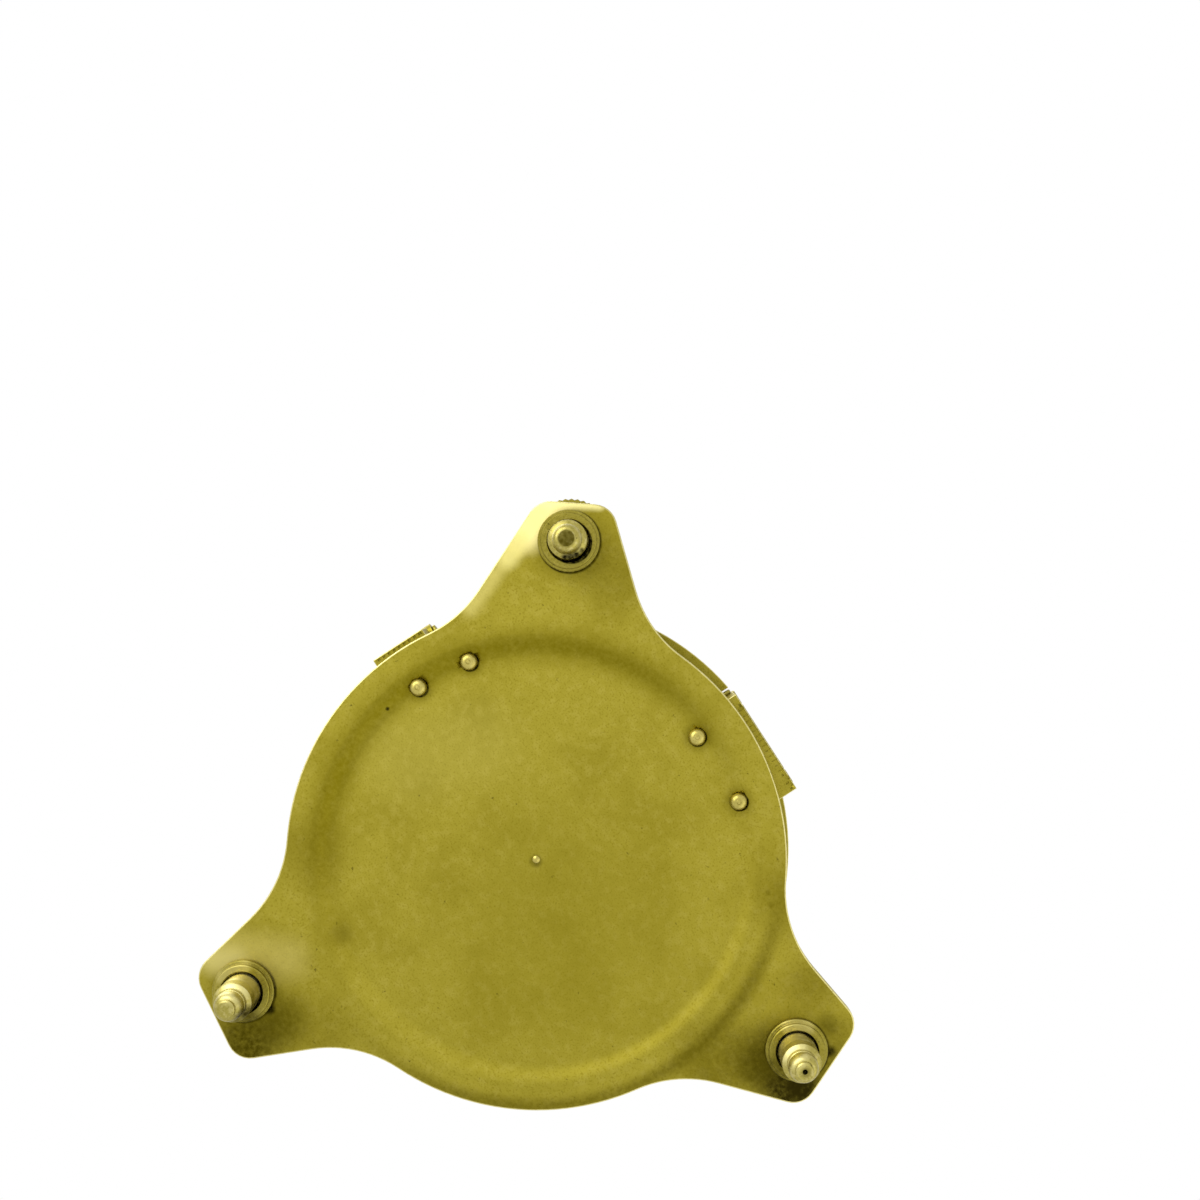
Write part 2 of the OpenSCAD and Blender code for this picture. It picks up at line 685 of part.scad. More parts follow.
// Leaf within the plate's edge, with an upstand that carries the long knuckle
module arc_bracket() {
    y0 = arc_barrel_y0;
    y1 = arc_knuckle_y0 - knuckle_gap;
    x0 = arc_axis_x - upstand_in + swing_gap;
    low_h = ring_mid_z - arc_barrel_r - swing_gap - top_z;
    leaf_half = arc_rivet_gap / 2 + rivet_sink_r + edge_cut;
    color(brass) difference() {
        union() {
            intersection() {
                translate([0, 0, top_z]) rounded_slab(
                    [disc_r - leaf_depth, arc_rivet_mid[1] - leaf_half],
                    [disc_r, arc_rivet_mid[1] + leaf_half], edge_cut, leaf_t);
                translate([0, 0, top_z - over])
                    cylinder(h = leaf_t + 2 * over, r = disc_r - edge_cut);
            }
            translate([x0, y0, top_z]) cube([arc_upstand_x - x0, arc_upstand_y - y0, low_h]);
            translate([x0, y0, top_z])
                cube([arc_upstand_x - x0, y1 - y0, ring_mid_z - top_z]);
            translate([arc_axis_x, 0, ring_mid_z]) rod_y(arc_barrel_r, y0, y1);
        }
        leaf_holes(arc_rivets);
        translate([arc_axis_x, 0, ring_mid_z]) rod_y(arc_pin_r, y0 - over, y1 + over);
    }
}

module arc_hinge_pin() {
    color(dull_brass) translate([arc_axis_x, 0, ring_mid_z]) {
        rod_y(arc_pin_r, arc_barrel_y0 - pin_head_h / 2, arc_barrel_y1 + pin_head_h / 2);
        rod_y(arc_pin_r + pin_head_extra, arc_barrel_y0 - pin_head_h, arc_barrel_y0);
        rod_y(arc_pin_r + pin_head_extra, arc_barrel_y1, arc_barrel_y1 + pin_head_h);
    }
}

// Flat arc on a narrow tab with its hinge knuckle, folded inward
module latitude_arc() {
    far = 2 * arc_out_r;
    color(brass) difference() {
        union() {
            translate([arc_axis_x, ring_axis_y, arc_z0]) linear_extrude(arc_t) intersection() {
                difference() {
                    circle(arc_out_r);
                    circle(arc_in_r);
                }
                polygon([[0, 0], [tab_in_x - arc_axis_x, -far], [-far, -far],
                    -far * [sin(arc_sweep), cos(arc_sweep)]]);
                translate([-far, -far]) square([far + tab_in_x - arc_axis_x, 2 * far]);
            }
            translate([tab_in_x - over, arc_barrel_y1 - arc_tab_w, arc_z0])
                cube([arc_axis_x - tab_in_x + over, arc_tab_w, arc_t]);
            translate([arc_axis_x, 0, ring_mid_z])
                rod_y(arc_barrel_r, arc_knuckle_y0, arc_barrel_y1);
        }
        translate([arc_axis_x, 0, ring_mid_z])
            rod_y(arc_pin_r + fit_gap, arc_knuckle_y0 - over, arc_barrel_y1 + over);
    }
}

base_plate();
levelling_bush(0);  // levelling_bush_1
levelling_bush(1);  // levelling_bush_2
levelling_bush(2);  // levelling_bush_3
levelling_stud(0);  // levelling_stud_1
levelling_stud(1);  // levelling_stud_2
levelling_stud(2);  // levelling_stud_3
knurled_knob(0);  // knurled_knob_1
knurled_knob(1);  // knurled_knob_2
knurled_knob(2);  // knurled_knob_3
compass_bowl();
pivot_post();
dial_plate();
glass_seat_ring();
compass_glass();
bezel_ring();
needle();
needle_cap();
level_case(false);  // level_case_x
level_plugs(false);  // level_plugs_x
level_vial(false);  // level_vial_x
level_spirit(false);  // level_spirit_x
level_case(true);  // level_case_y
level_plugs(true);  // level_plugs_y
level_vial(true);  // level_vial_y
level_spirit(true);  // level_spirit_y
ring_bracket();
rivets(ring_rivets);  // ring_bracket_rivets
ring_hinge_pin();
hour_ring();
gnomon_bar();
gnomon_rod();
arc_bracket();
rivets(arc_rivets);  // arc_bracket_rivets
arc_hinge_pin();
latitude_arc();
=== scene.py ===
import bpy
import json
import math
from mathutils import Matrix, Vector


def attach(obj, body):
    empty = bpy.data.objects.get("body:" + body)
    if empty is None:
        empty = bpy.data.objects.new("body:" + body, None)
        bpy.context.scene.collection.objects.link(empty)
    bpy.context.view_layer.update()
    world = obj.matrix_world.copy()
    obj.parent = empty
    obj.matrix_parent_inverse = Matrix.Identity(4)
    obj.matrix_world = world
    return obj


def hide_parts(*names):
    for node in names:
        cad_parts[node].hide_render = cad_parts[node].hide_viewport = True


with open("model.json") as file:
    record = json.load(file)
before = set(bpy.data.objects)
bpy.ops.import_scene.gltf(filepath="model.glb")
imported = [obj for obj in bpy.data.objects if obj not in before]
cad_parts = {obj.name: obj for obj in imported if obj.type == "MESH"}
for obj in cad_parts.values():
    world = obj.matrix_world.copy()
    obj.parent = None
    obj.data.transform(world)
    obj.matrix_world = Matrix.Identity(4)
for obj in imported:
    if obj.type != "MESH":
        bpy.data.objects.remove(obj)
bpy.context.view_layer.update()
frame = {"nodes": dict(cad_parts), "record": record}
nodes = frame["nodes"]
print("frame loaded:", len(nodes), "nodes")

mm = 0.001
# Points closer than these are one point: in what is made here, and in a mesh from the CAD
weldDistance = 0.001 * mm
cadWeldDistance = 0.002 * mm
# An edge that turns by more than the first is sharp; faces that turn by less than the second
# are one; a face whose normal rises by less than the third is upright
sharpTurn = math.radians(35)
flatTurn = math.radians(0.4)
uprightRise = 0.1
bevelSteps = 2
camera = {
    "place": (26.84, 32.33, -215.88),
    "turn": (179.82, -0.70, 123.02),
    "lens": 45,
    "sensor": 36,
    "clip": 5.0,
}
# The photograph's right and up, and the way to its camera, in the frame's axes
imageRight = Vector((-0.545, 0.839, 0.0))
imageUp = Vector((0.839, 0.545, 0.0))
imageNear = Vector((0.0, 0.0, -1.0))
# Heights of the plate's two faces in mm, and those between which its stains fade out
plateFaces = {"under": 11.0, "top": 13.2}
stainFade = (12.3, 13.4)
screwCircle = 48.6
screwTurns = (38.9, 158.9, 278.9)
screwPlaces = [(screwCircle * math.cos(angle), screwCircle * math.sin(angle))
               for angle in map(math.radians, screwTurns)]


def linear(hexColour):
    parts = [int(hexColour[i:i + 2], 16) / 255 for i in (1, 3, 5)]
    return tuple(c / 12.92 if c < 0.04045 else ((c + 0.055) / 1.055) ** 2.4 for c in parts) + (1,)


def addNode(tree, kind, inputs=None, out=0, **settings):
    # an input is a number, a colour, a vector or the output of another node
    node = tree.nodes.new("ShaderNode" + kind)
    for name, value in settings.items():
        setattr(node, name, value)
    for name, value in (inputs or {}).items():
        if isinstance(value, bpy.types.NodeSocket):
            tree.links.new(value, node.inputs[name])
        else:
            node.inputs[name].default_value = value
    return node.outputs[out] if len(node.outputs) else node


def startMaterial(name, roughness, metallic=1.0):
    material = bpy.data.materials.new(name)
    material.use_nodes = True
    tree = material.node_tree
    shader = next(node for node in tree.nodes if node.type == "BSDF_PRINCIPLED")
    shader.inputs["Roughness"].default_value = roughness
    shader.inputs["Metallic"].default_value = metallic
    return material, tree, shader


# Sheet and cast brass, satin and years old: the bare metal has gone olive, a brown-green patina
# lies in soft clouds and in the fine pits of the surface, and dirt has settled round whatever
# stands on it. Widths of the cloud, the mottle, the grain, the specks and the pores are in mm.
brassLook = {
    "body": "#9c9030",
    "pale": "#b1a550",
    "patina": "#7b6f10",
    "grime": "#2a2506",
    "roughness": 0.46,
    "cloud": 11.0,
    "mottle": 1.5,
    "grain": 0.3,
    "speck": 1.3,
    "pore": 0.8,
    "cloudShare": 0.32,
    "mottleShare": 0.24,
    "grainShare": 0.62,
    "specks": 0.55,
    "pitDepth": 0.02,
}


def agedBrass(name, look, stainsAndShade=(), paintedHighlights=(), dirtAndShadeBands=()):
    material, tree, shader = startMaterial(name, look["roughness"])
    place = addNode(tree, "TexCoord", out=3)
    tones, shares = {}, {}
    for tone, detail, rough, low, high in (("cloud", 3.0, 0.5, 0.42, 0.68),
                                           ("mottle", 4.0, 0.6, 0.45, 0.7),
                                           ("grain", 2.0, 0.6, 0.48, 0.75)):
        tones[tone] = addNode(tree, "TexNoise", {"Vector": place, "Scale": 1 / (look[tone] * mm),
                                                 "Detail": detail, "Roughness": rough})
        shares[tone] = addNode(tree, "MapRange", {"Value": tones[tone], "From Min": low,
                                                  "From Max": high, "To Max": look[tone + "Share"]},
                               interpolation_type="SMOOTHSTEP")
    # sparse dark specks
    speck = addNode(tree, "TexNoise", {"Vector": place, "Scale": 1 / (look["speck"] * mm),
                                       "Detail": 3.0, "Roughness": 0.75})
    speck = addNode(tree, "MapRange", {"Value": speck, "From Min": 0.66, "From Max": 0.74,
                                       "To Max": look["specks"]}, interpolation_type="SMOOTHSTEP")
    # colours laid over the bare metal, the first one lowest: how much of it shows, and its tint
    layers = [(shares["cloud"], look["patina"]), (shares["mottle"], look["pale"]),
              (shares["grain"], look["patina"]), (speck, look["grime"])]
    flat = addNode(tree, "VectorMath", {0: place, 1: (1, 1, 0)}, operation="MULTIPLY")
    height = addNode(tree, "SeparateXYZ", {"Vector": place}, 2)
    underneath = addNode(tree, "MapRange", {"Value": height, "From Min": stainFade[0] * mm,
                                            "From Max": stainFade[1] * mm,
                                            "To Min": 1.0, "To Max": 0.0})
    # the edge of the stains, the dirt and the painted shade is broken into spots by the pores of
    # the surface
    pores = addNode(tree, "TexNoise", {"Vector": place, "Scale": 1 / (look["pore"] * mm),
                                       "Detail": 3.0, "Roughness": 0.7})
    broken = addNode(tree, "MapRange", {"Value": pores, "From Min": 0.33, "From Max": 0.67,
                                        "To Min": 0.74, "To Max": 1.14})
    broken = addNode(tree, "Math", {0: broken, 1: underneath}, operation="MULTIPLY")
    # rings of dirt and painted shade round the middle, each stronger toward one side
    for ring in dirtAndShadeBands:
        radius = addNode(tree, "VectorMath", {0: flat}, 1, operation="LENGTH")
        off = addNode(tree, "Math", {0: radius, 1: ring["radius"] * mm}, operation="SUBTRACT")
        off = addNode(tree, "Math", {0: off}, operation="ABSOLUTE")
        dirtAndShadeBand = addNode(tree, "MapRange", {"Value": off, "From Min": 0.0,
                                          "From Max": ring["width"] * mm,
                                          "To Min": 1.0, "To Max": 0.0},
                       interpolation_type="SMOOTHSTEP")
        across = addNode(tree, "VectorMath", {0: place, 1: ring["toward"]}, 1,
                         operation="DOT_PRODUCT")
        side = addNode(tree, "MapRange", {"Value": across, "From Min": ring["none"] * mm,
                                          "From Max": ring["full"] * mm,
                                          "To Max": ring["strength"]},
                       interpolation_type="SMOOTHSTEP")
        dirtAndShadeBand = addNode(tree, "Math", {0: dirtAndShadeBand, 1: side}, operation="MULTIPLY")
        dirtAndShadeBand = addNode(tree, "Math", {0: dirtAndShadeBand, 1: broken}, operation="MULTIPLY", use_clamp=True)
        layers.append((dirtAndShadeBand, ring["colour"]))
    # soft discs round places, which hold stains, dark joints and painted shade
    for (x, y), inner, outer, strength, tint in stainsAndShade:
        away = addNode(tree, "VectorMath", {0: flat, 1: (x * mm, y * mm, 0)}, 1,
                       operation="DISTANCE")
        stainAndShade = addNode(tree, "MapRange", {"Value": away, "From Min": inner * mm,
                                          "From Max": outer * mm,
                                          "To Min": strength, "To Max": 0.0},
                       interpolation_type="SMOOTHSTEP")
        stainAndShade = addNode(tree, "Math", {0: stainAndShade, 1: broken}, operation="MULTIPLY", use_clamp=True)
        layers.append((stainAndShade, tint))
    for start, end, inner, outer, strength, tint in paintedHighlights:
        # a painted highlight laid as a streak: how far a point lies from the line between two
        # places
        along = Vector((end[0] - start[0], end[1] - start[1], 0)) * mm
        fromStart = addNode(tree, "VectorMath", {0: flat, 1: (start[0] * mm, start[1] * mm, 0)},
                            operation="SUBTRACT")
        reach = addNode(tree, "VectorMath", {0: fromStart, 1: along.normalized()}, 1,
                        operation="DOT_PRODUCT")
        reach = addNode(tree, "Clamp", {"Value": reach, "Min": 0.0, "Max": along.length})
        foot = addNode(tree, "VectorMath", {0: along.normalized(), "Scale": reach},
                       operation="SCALE")
        away = addNode(tree, "VectorMath", {0: fromStart, 1: foot}, 1, operation="DISTANCE")
        paleTint = addNode(tree, "MapRange", {"Value": away, "From Min": inner * mm,
                                          "From Max": outer * mm,
                                          "To Min": strength, "To Max": 0.0},
                       interpolation_type="SMOOTHSTEP")
        paleTint = addNode(tree, "Math", {0: paleTint, 1: underneath}, operation="MULTIPLY")
        layers.append((paleTint, tint))
    colour = linear(look["body"])
    for amount, tint in layers:
        colour = addNode(tree, "Mix", {0: amount, 6: colour, 7: linear(tint)}, 2, data_type="RGBA")
    tree.links.new(colour, shader.inputs["Base Color"])
    rough = addNode(tree, "MapRange", {"Value": tones["mottle"], "From Min": 0.3, "From Max": 0.75,
                                       "To Min": look["roughness"] - 0.05,
                                       "To Max": look["roughness"] + 0.08})
    tree.links.new(rough, shader.inputs["Roughness"])
    relief = addNode(tree, "Math", {0: tones["grain"], 1: tones["mottle"]}, operation="ADD")
    bump = addNode(tree, "Bump", {"Height": relief, "Strength": 0.35,
                                  "Distance": look["pitDepth"] * mm})
    tree.links.new(bump, shader.inputs["Normal"])
    return material


def beside(spot, right, up):
    # a place some mm from another, by the photograph's right and up
    return (spot[0] + right * imageRight.x + up * imageUp.x,
            spot[1] + right * imageRight.y + up * imageUp.y)


first, second, third = screwPlaces
rivetPlaces = [(-9.25, 30.58), (2.35, 30.62), (31.65, -0.73), (30.75, 7.83)]
# Stains and painted shade on the underside of the plate: place in mm, inner and outer radius,
# strength, colour.
# Each bush and each rivet has a soft halo, and a dark ring at its foot shifted to the lower right:
# a dark joint that thickens there into a painted shadow.
plateStainsAndShade = []
for spot in screwPlaces:
    plateStainsAndShade += [(spot, 4.3, 7.6, 0.42, "#6a5f0c"),
                    (beside(spot, 0.15, -0.15), 4.68, 5.02, 0.95, "#181402")]
for spot in rivetPlaces:
    plateStainsAndShade += [(spot, 1.3, 3.0, 0.5, "#6a5f0c"),
                    (beside(spot, 0.14, -0.12), 1.3, 1.56, 1.0, "#120f02")]
plateStainsAndShade += [
    # Partly stains and partly painted shade: a broad darkening over the middle, darker patches
    # below and beside the bushes of the lower ears, and softer ones round the disc
    ((-9.6, -1.9), 4.0, 27.0, 0.42, "#7d7216"),
    ((0.3, -45.8), 0.8, 6.0, 0.8, "#4a4206"),
    ((-44.2, 12.6), 1.0, 7.5, 0.85, "#3d3506"),
    ((-38.5, 24.8), 0.5, 7.0, 0.5, "#5f5408"),
    ((-46.6, 24.2), 0.3, 5.0, 0.5, "#5a5006"),
    ((-50.7, 14.9), 0.8, 3.8, 1.0, "#0f0c02"),
    ((-49.5, 13.4), 1.5, 7.0, 0.95, "#2b2506"),
    ((-52.0, 21.5), 0.5, 6.0, 0.7, "#453d08"),
    ((-40.5, 6.9), 2.0, 10.0, 0.6, "#5a5006"),
    ((-26.0, 28.5), 0.5, 9.0, 0.45, "#665b08"),
    ((0.4, -52.4), 1.5, 8.5, 0.9, "#443c04"),
    ((-4.6, -41.5), 1.0, 9.0, 0.4, "#665b08"),
    ((1.5, -45.0), 1.0, 6.0, 0.3, "#665b08"),
    ((19.8, -28.2), 1.0, 9.0, 0.35, "#665b08"),
    ((-31.0, -20.0), 1.0, 11.0, 0.15, "#665b08"),
    ((30.6, 33.6), 1.0, 9.0, 0.45, "#665b08"),
    # Painted shadow at the lower right of the third bush, and painted shade round the second bush
    (beside(third, 3.9, -2.8), 0.3, 1.2, 1.0, "#120f02"),
    (beside(second, 5.1, -0.3), 0.2, 1.3, 0.9, "#1c1703"),
    (beside(second, 4.6, 3.8), 0.4, 2.4, 0.5, "#4a4208"),
    (beside(second, -5.6, -2.6), 0.8, 4.2, 0.6, "#4a4208"),
    ((31.49, -6.46), 0.1, 0.45, 1.0, "#0c0a02"),
    ((6.6, -31.1), 0.3, 2.6, 0.4, "#5c5210"),
    ((-23.2, 26.8), 0.1, 0.7, 0.7, "#6a5f0c"),
    ((-25.0, 26.2), 0.1, 0.8, 0.6, "#6a5f0c"),
    ((-0.2, -0.2), 0.5, 1.3, 0.6, "#4c4410"),
]
# Painted highlights, laid as pale streaks from one place to another: on the first ear's flank and
# outer edge, on a corner of the third ear, and a faint patch over the middle
platePaintedHighlights = [
    ((45.0, 32.5), (42.6, 26.0), 0.4, 4.6, 0.95, "#fff2a6"),
    ((44.0, 29.0), (40.8, 21.5), 0.2, 2.7, 0.65, "#f0e590"),
    ((42.0, 24.5), (37.4, 12.5), 0.1, 2.2, 0.45, "#dcd07a"),
    (beside(first, -3.2, 6.0), beside(first, 4.6, 5.6), 0.2, 1.5, 0.85, "#f6eca0"),
    ((14.5, -47.5), (8.0, -40.0), 0.5, 5.5, 0.38, "#cdbf6c"),
    ((13.9, -49.4), (12.0, -47.0), 0.3, 3.6, 0.5, "#d8cc80"),
    ((23.0, -8.0), (20.0, 2.0), 2.0, 10.0, 0.22, "#b3a850"),
]
# Dirt and painted shade in the soft shoulder of the sunk middle, stronger on one side, and painted
# shade along the edge of the disc below. A band grows from none to its full strength over these
# distances toward one side.
plateDirtAndShadeBands = [
    {"radius": 32.7, "width": 4.3, "toward": (0.99, 0.14, 0.0), "none": -8.0, "full": 24.0,
     "strength": 0.86, "colour": "#74690c"},
    {"radius": 37.4, "width": 2.1, "toward": (-0.975, -0.225, 0.0), "none": 10.0, "full": 32.0,
     "strength": 0.72, "colour": "#5f550c"},
]


def rowPlaces(row):
    return [(row["first"][0] + i * row["step"][0], row["first"][1] + i * row["step"][1])
            for i in range(row["count"])]


# The hinge brackets are dark in their marks and pits
arcRow = {"count": 9, "first": (38.45, -3.75), "step": (0, 0.92)}
bracketStains = [((2.1, 38.6), 0.2, 0.6, 0.95, "#151203"),
                 ((-11.4, 38.7), 0.6, 2.2, 0.85, "#3a330a"),
                 ((-8.6, 38.5), 0.3, 1.2, 0.6, "#4c4410")]
bracketStains += [(spot, 0.14, 0.36, 0.85, "#1f1a05") for spot in rowPlaces(arcRow)]
# The screws: the first has a worn dark end and painted shadow below it on its shoulder, the second
# is darker in and round its drilled end with a painted highlight at its upper left, and the third
# has painted shade at its lower right and a painted highlight above
studStainsAndShade = [
    (first, 1.1, 1.28, 0.92, "#4d450f"),
    (beside(first, -0.35, -2.62), 0.15, 0.75, 1.0, "#171305"),
    (beside(first, 0.55, -2.6), 0.25, 0.85, 1.0, "#100d03"),
    (beside(first, 1.4, -2.25), 0.2, 0.8, 1.0, "#171305"),
    (beside(first, 2.1, -1.65), 0.1, 0.65, 0.9, "#2a240a"),
    (second, 0.4, 1.15, 0.75, "#6f652c"),
    (second, 0.26, 0.44, 1.0, "#0b0902"),
    (beside(third, 2.4, -1.5), 0.6, 1.9, 0.9, "#332c0a"),
    (beside(third, 0.6, -2.6), 0.3, 1.2, 0.7, "#4d450f"),
]
# Painted highlights along the upper sides of the second and third screws
studPaintedHighlights = [(beside(third, 0.2, 2.7), beside(third, 1.4, 2.3), 0.6, 2.4, 0.75, "#e0d692"),
              (beside(second, -2.2, 1.6), beside(second, -0.8, 2.6), 0.6, 2.4, 0.7, "#e0d692")]
# The bushes: painted shade on the lower side of the second and third; a dark joint round the bore
# of each, the first's shifted to the lower right so that it thickens there into a painted shadow;
# painted highlights along the upper sides of the second and third
bushJointsAndShade = [(beside(third, 1.0, -3.7), 0.6, 2.8, 0.75, "#3a3208"),
              (beside(second, -2.7, -2.7), 1.2, 3.8, 0.8, "#473f08"),
              (beside(first, 0.38, -0.3), 3.12, 3.32, 1.0, "#0e0c02")]
bushJointsAndShade += [(spot, 3.08, 3.34, 1.0, "#0e0c02") for spot in (second, third)]
bushPaintedHighlights = [(beside(second, -1.4, 3.8), beside(second, 1.6, 3.8), 0.3, 1.5, 0.6, "#cdc176"),
              (beside(third, -3.2, 2.4), beside(third, 0.4, 3.9), 0.3, 1.4, 0.5, "#cdc176")]
# Turned brass is duller and more finely mottled, and the screws are rubbed paler
dullLook = dict(brassLook, body="#988d3a", pale="#b3a85c", patina="#6f6516", mottle=0.9, specks=0.6,
                roughness=0.4)
studLook = dict(dullLook, body="#a99e52", pale="#cdc286", patina="#7d7326", mottleShare=0.5)
# Brass rubbed by hands and cloth: pale, smoother and with few specks
rubbedLook = dict(brassLook, body="#b8ab5c", pale="#cfc27e", patina="#928632", roughness=0.34,
                  specks=0.3)
edgeLook = dict(rubbedLook, body="#cfc580", pale="#e6dda2", patina="#a89d52", roughness=0.38)
materials = {
    "brass": agedBrass("aged_brass_sheet", brassLook),
    "plate": agedBrass("aged_brass_plate", brassLook, plateStainsAndShade, platePaintedHighlights, plateDirtAndShadeBands),
    "bracket": agedBrass("aged_brass_brackets", brassLook, bracketStains),
    "worn_edge": agedBrass("rubbed_brass_edge", edgeLook),
    "dull_brass": agedBrass("dull_turned_brass", dullLook),
    "stud": agedBrass("dull_brass_screw", studLook, studStainsAndShade, studPaintedHighlights),
    "bush": agedBrass("dull_brass_bush", dullLook, bushJointsAndShade, bushPaintedHighlights),
    "bright_brass": agedBrass("rubbed_brass", rubbedLook),
}


def finishMaterial(name, colour, roughness, metallic, second, size, share=1.0, transmission=0.0,
                   alpha=1.0, ior=None):
    # two colours in clouds of a size in mm; a metal keeps the default IOR
    material, tree, shader = startMaterial(name, roughness, metallic)
    shader.inputs["Base Color"].default_value = linear(colour)
    if ior:
        shader.inputs["IOR"].default_value = ior
    shader.inputs["Transmission Weight"].default_value = transmission
    shader.inputs["Alpha"].default_value = alpha
    place = addNode(tree, "TexCoord", out=3)
    tone = addNode(tree, "TexNoise", {"Vector": place, "Scale": 1 / (size * mm), "Detail": 4.0,
                                      "Roughness": 0.6})
    amount = addNode(tree, "MapRange", {"Value": tone, "From Min": 0.4, "From Max": 0.7,
                                        "To Max": share}, interpolation_type="SMOOTHSTEP")
    mixed = addNode(tree, "Mix", {0: amount, 6: linear(colour), 7: linear(second)}, 2,
                    data_type="RGBA")
    tree.links.new(mixed, shader.inputs["Base Color"])
    rough = addNode(tree, "MapRange", {"Value": tone, "From Min": 0.3, "From Max": 0.7,
                                       "To Min": max(roughness - 0.06, 0.0),
                                       "To Max": roughness + 0.06})
    tree.links.new(rough, shader.inputs["Roughness"])
    return material


# Dial brass silvered by rubbing: pale and matt, a little yellow where it has tarnished
materials["silvered_brass"] = finishMaterial("silvered_dial_brass", "#d6d3c8", 0.5, 0.7,
                                             "#c4bda2", 5.0, 0.45)
# Steel blued by heat: deep blue that drifts to purple
materials["blued_steel"] = finishMaterial("heat_blued_steel", "#20376f", 0.3, 1.0, "#33285c", 2.5)
# The south half of the needle is left as bright ground steel
materials["bright_steel"] = finishMaterial("ground_steel", "#bdbdba", 0.32, 1.0, "#a3a19a", 1.2,
                                           0.6)
# Engraving filled with black wax: near black, soft and dull
materials["black_wax"] = finishMaterial("black_wax_filling", "#17150f", 0.55, 0.0, "#26221a", 0.8,
                                        ior=1.44)
# Cut window glass: clear, with the faintest unevenness of its tint
materials["clear_glass"] = finishMaterial("clear_glass", "#ffffff", 0.02, 0.0, "#f3f7f1", 6.0,
                                          transmission=1.0, ior=1.5)
# Thin drawn tube: a sheen over what it holds, and most of the light goes straight through
materials["vial_glass"] = finishMaterial("drawn_glass_tube", "#eef2ec", 0.05, 0.0, "#e2e8de", 1.5,
                                         alpha=0.14, ior=1.5)
# Spirit dyed yellow-green, so that the bubble shows pale
materials["level_spirit"] = finishMaterial("dyed_spirit", "#cfe03c", 0.12, 0.0, "#c2d433", 4.0,
                                           transmission=0.2, ior=1.36)
# The bubble is the air over the spirit: nearly white, with the spirit's tint shining through
materials["air_bubble"] = finishMaterial("air_bubble", "#f6fadc", 0.05, 0.0, "#e9f1c4", 1.2,
                                         transmission=0.25, ior=1.3)
slotOf = {row["node"]: row["material_slot"] for row in frame["record"]["subparts"]}
bodyOf = {node: body for body, members in frame["record"]["behaviour"]["bodies"].items()
          for node in members}
for name, node in nodes.items():
    node.data.materials.clear()
    node.data.materials.append(materials["vial_glass" if "vial" in name else slotOf[name]])
print("materials made:", len(materials))


def select(*pieces):
    bpy.ops.object.select_all(action="DESELECT")
    for piece in pieces:
        piece.select_set(True)
    bpy.context.view_layer.objects.active = pieces[0]


def edit(piece):
    select(piece)
    bpy.ops.object.mode_set(mode="EDIT")
    bpy.ops.mesh.select_mode(type="FACE")
    bpy.ops.mesh.select_all(action="SELECT")


def leaveEdit():
    bpy.ops.object.mode_set(mode="OBJECT")


def settle(*pieces):
    # makes where a piece stands and how it is turned a part of its mesh
    select(*pieces)
    bpy.ops.object.transform_apply(location=True, rotation=True, scale=True)


def pick(piece, kind, test):
    # selects the points, or the faces, whose place in mm (and a face's normal) passes the test
    bpy.ops.mesh.select_mode(type={"verts": "VERT", "faces": "FACE"}[kind])
    bpy.ops.mesh.select_all(action="DESELECT")
    leaveEdit()
    if kind == "verts":
        for point in piece.data.vertices:
            point.select = test(point.co / mm)
    else:
        for face in piece.data.polygons:
            face.select = test(face.center / mm, face.normal)
    bpy.ops.object.mode_set(mode="EDIT")


def turned(name, profile, segments, ring=False):
    # a lathe-turned form about Z: a circle pulled from point to point of the profile; a ring's
    # profile comes back to its start, and any other form is closed at both ends
    bpy.ops.object.select_all(action="DESELECT")
    radius, height = profile[0]
    bpy.ops.mesh.primitive_circle_add(vertices=segments, radius=radius * mm, location=(0, 0, 0))
    piece = bpy.context.object
    piece.name = name
    bpy.ops.object.mode_set(mode="EDIT")
    bpy.ops.mesh.select_mode(type="EDGE")
    bpy.ops.mesh.select_all(action="SELECT")
    bpy.ops.transform.translate(value=(0, 0, height * mm))
    for nextRadius, nextHeight in profile[1:] + (profile[:1] if ring else []):
        bpy.ops.mesh.extrude_region_move(
            TRANSFORM_OT_translate={"value": (0, 0, (nextHeight - height) * mm)})
        share = nextRadius / radius
        bpy.ops.transform.resize(value=(share, share, 1), center_override=(0, 0, 0))
        radius, height = nextRadius, nextHeight
    bpy.ops.mesh.select_all(action="SELECT")
    if ring:
        bpy.ops.mesh.remove_doubles(threshold=weldDistance)
    else:
        bpy.ops.mesh.fill_holes(sides=0)
    bpy.ops.mesh.normals_make_consistent(inside=False)
    leaveEdit()
    return piece


def startPoint(name, place):
    # a piece of a single point, left in edit mode, so that a line can be drawn from it
    bpy.ops.object.select_all(action="DESELECT")
    bpy.ops.mesh.primitive_plane_add(size=mm, location=(0, 0, 0))
    piece = bpy.context.object
    piece.name = name
    bpy.ops.object.mode_set(mode="EDIT")
    bpy.ops.mesh.select_mode(type="VERT")
    bpy.ops.mesh.select_all(action="SELECT")
    bpy.ops.mesh.merge(type="CENTER")
    bpy.ops.transform.translate(value=[c * mm for c in place])
    return piece


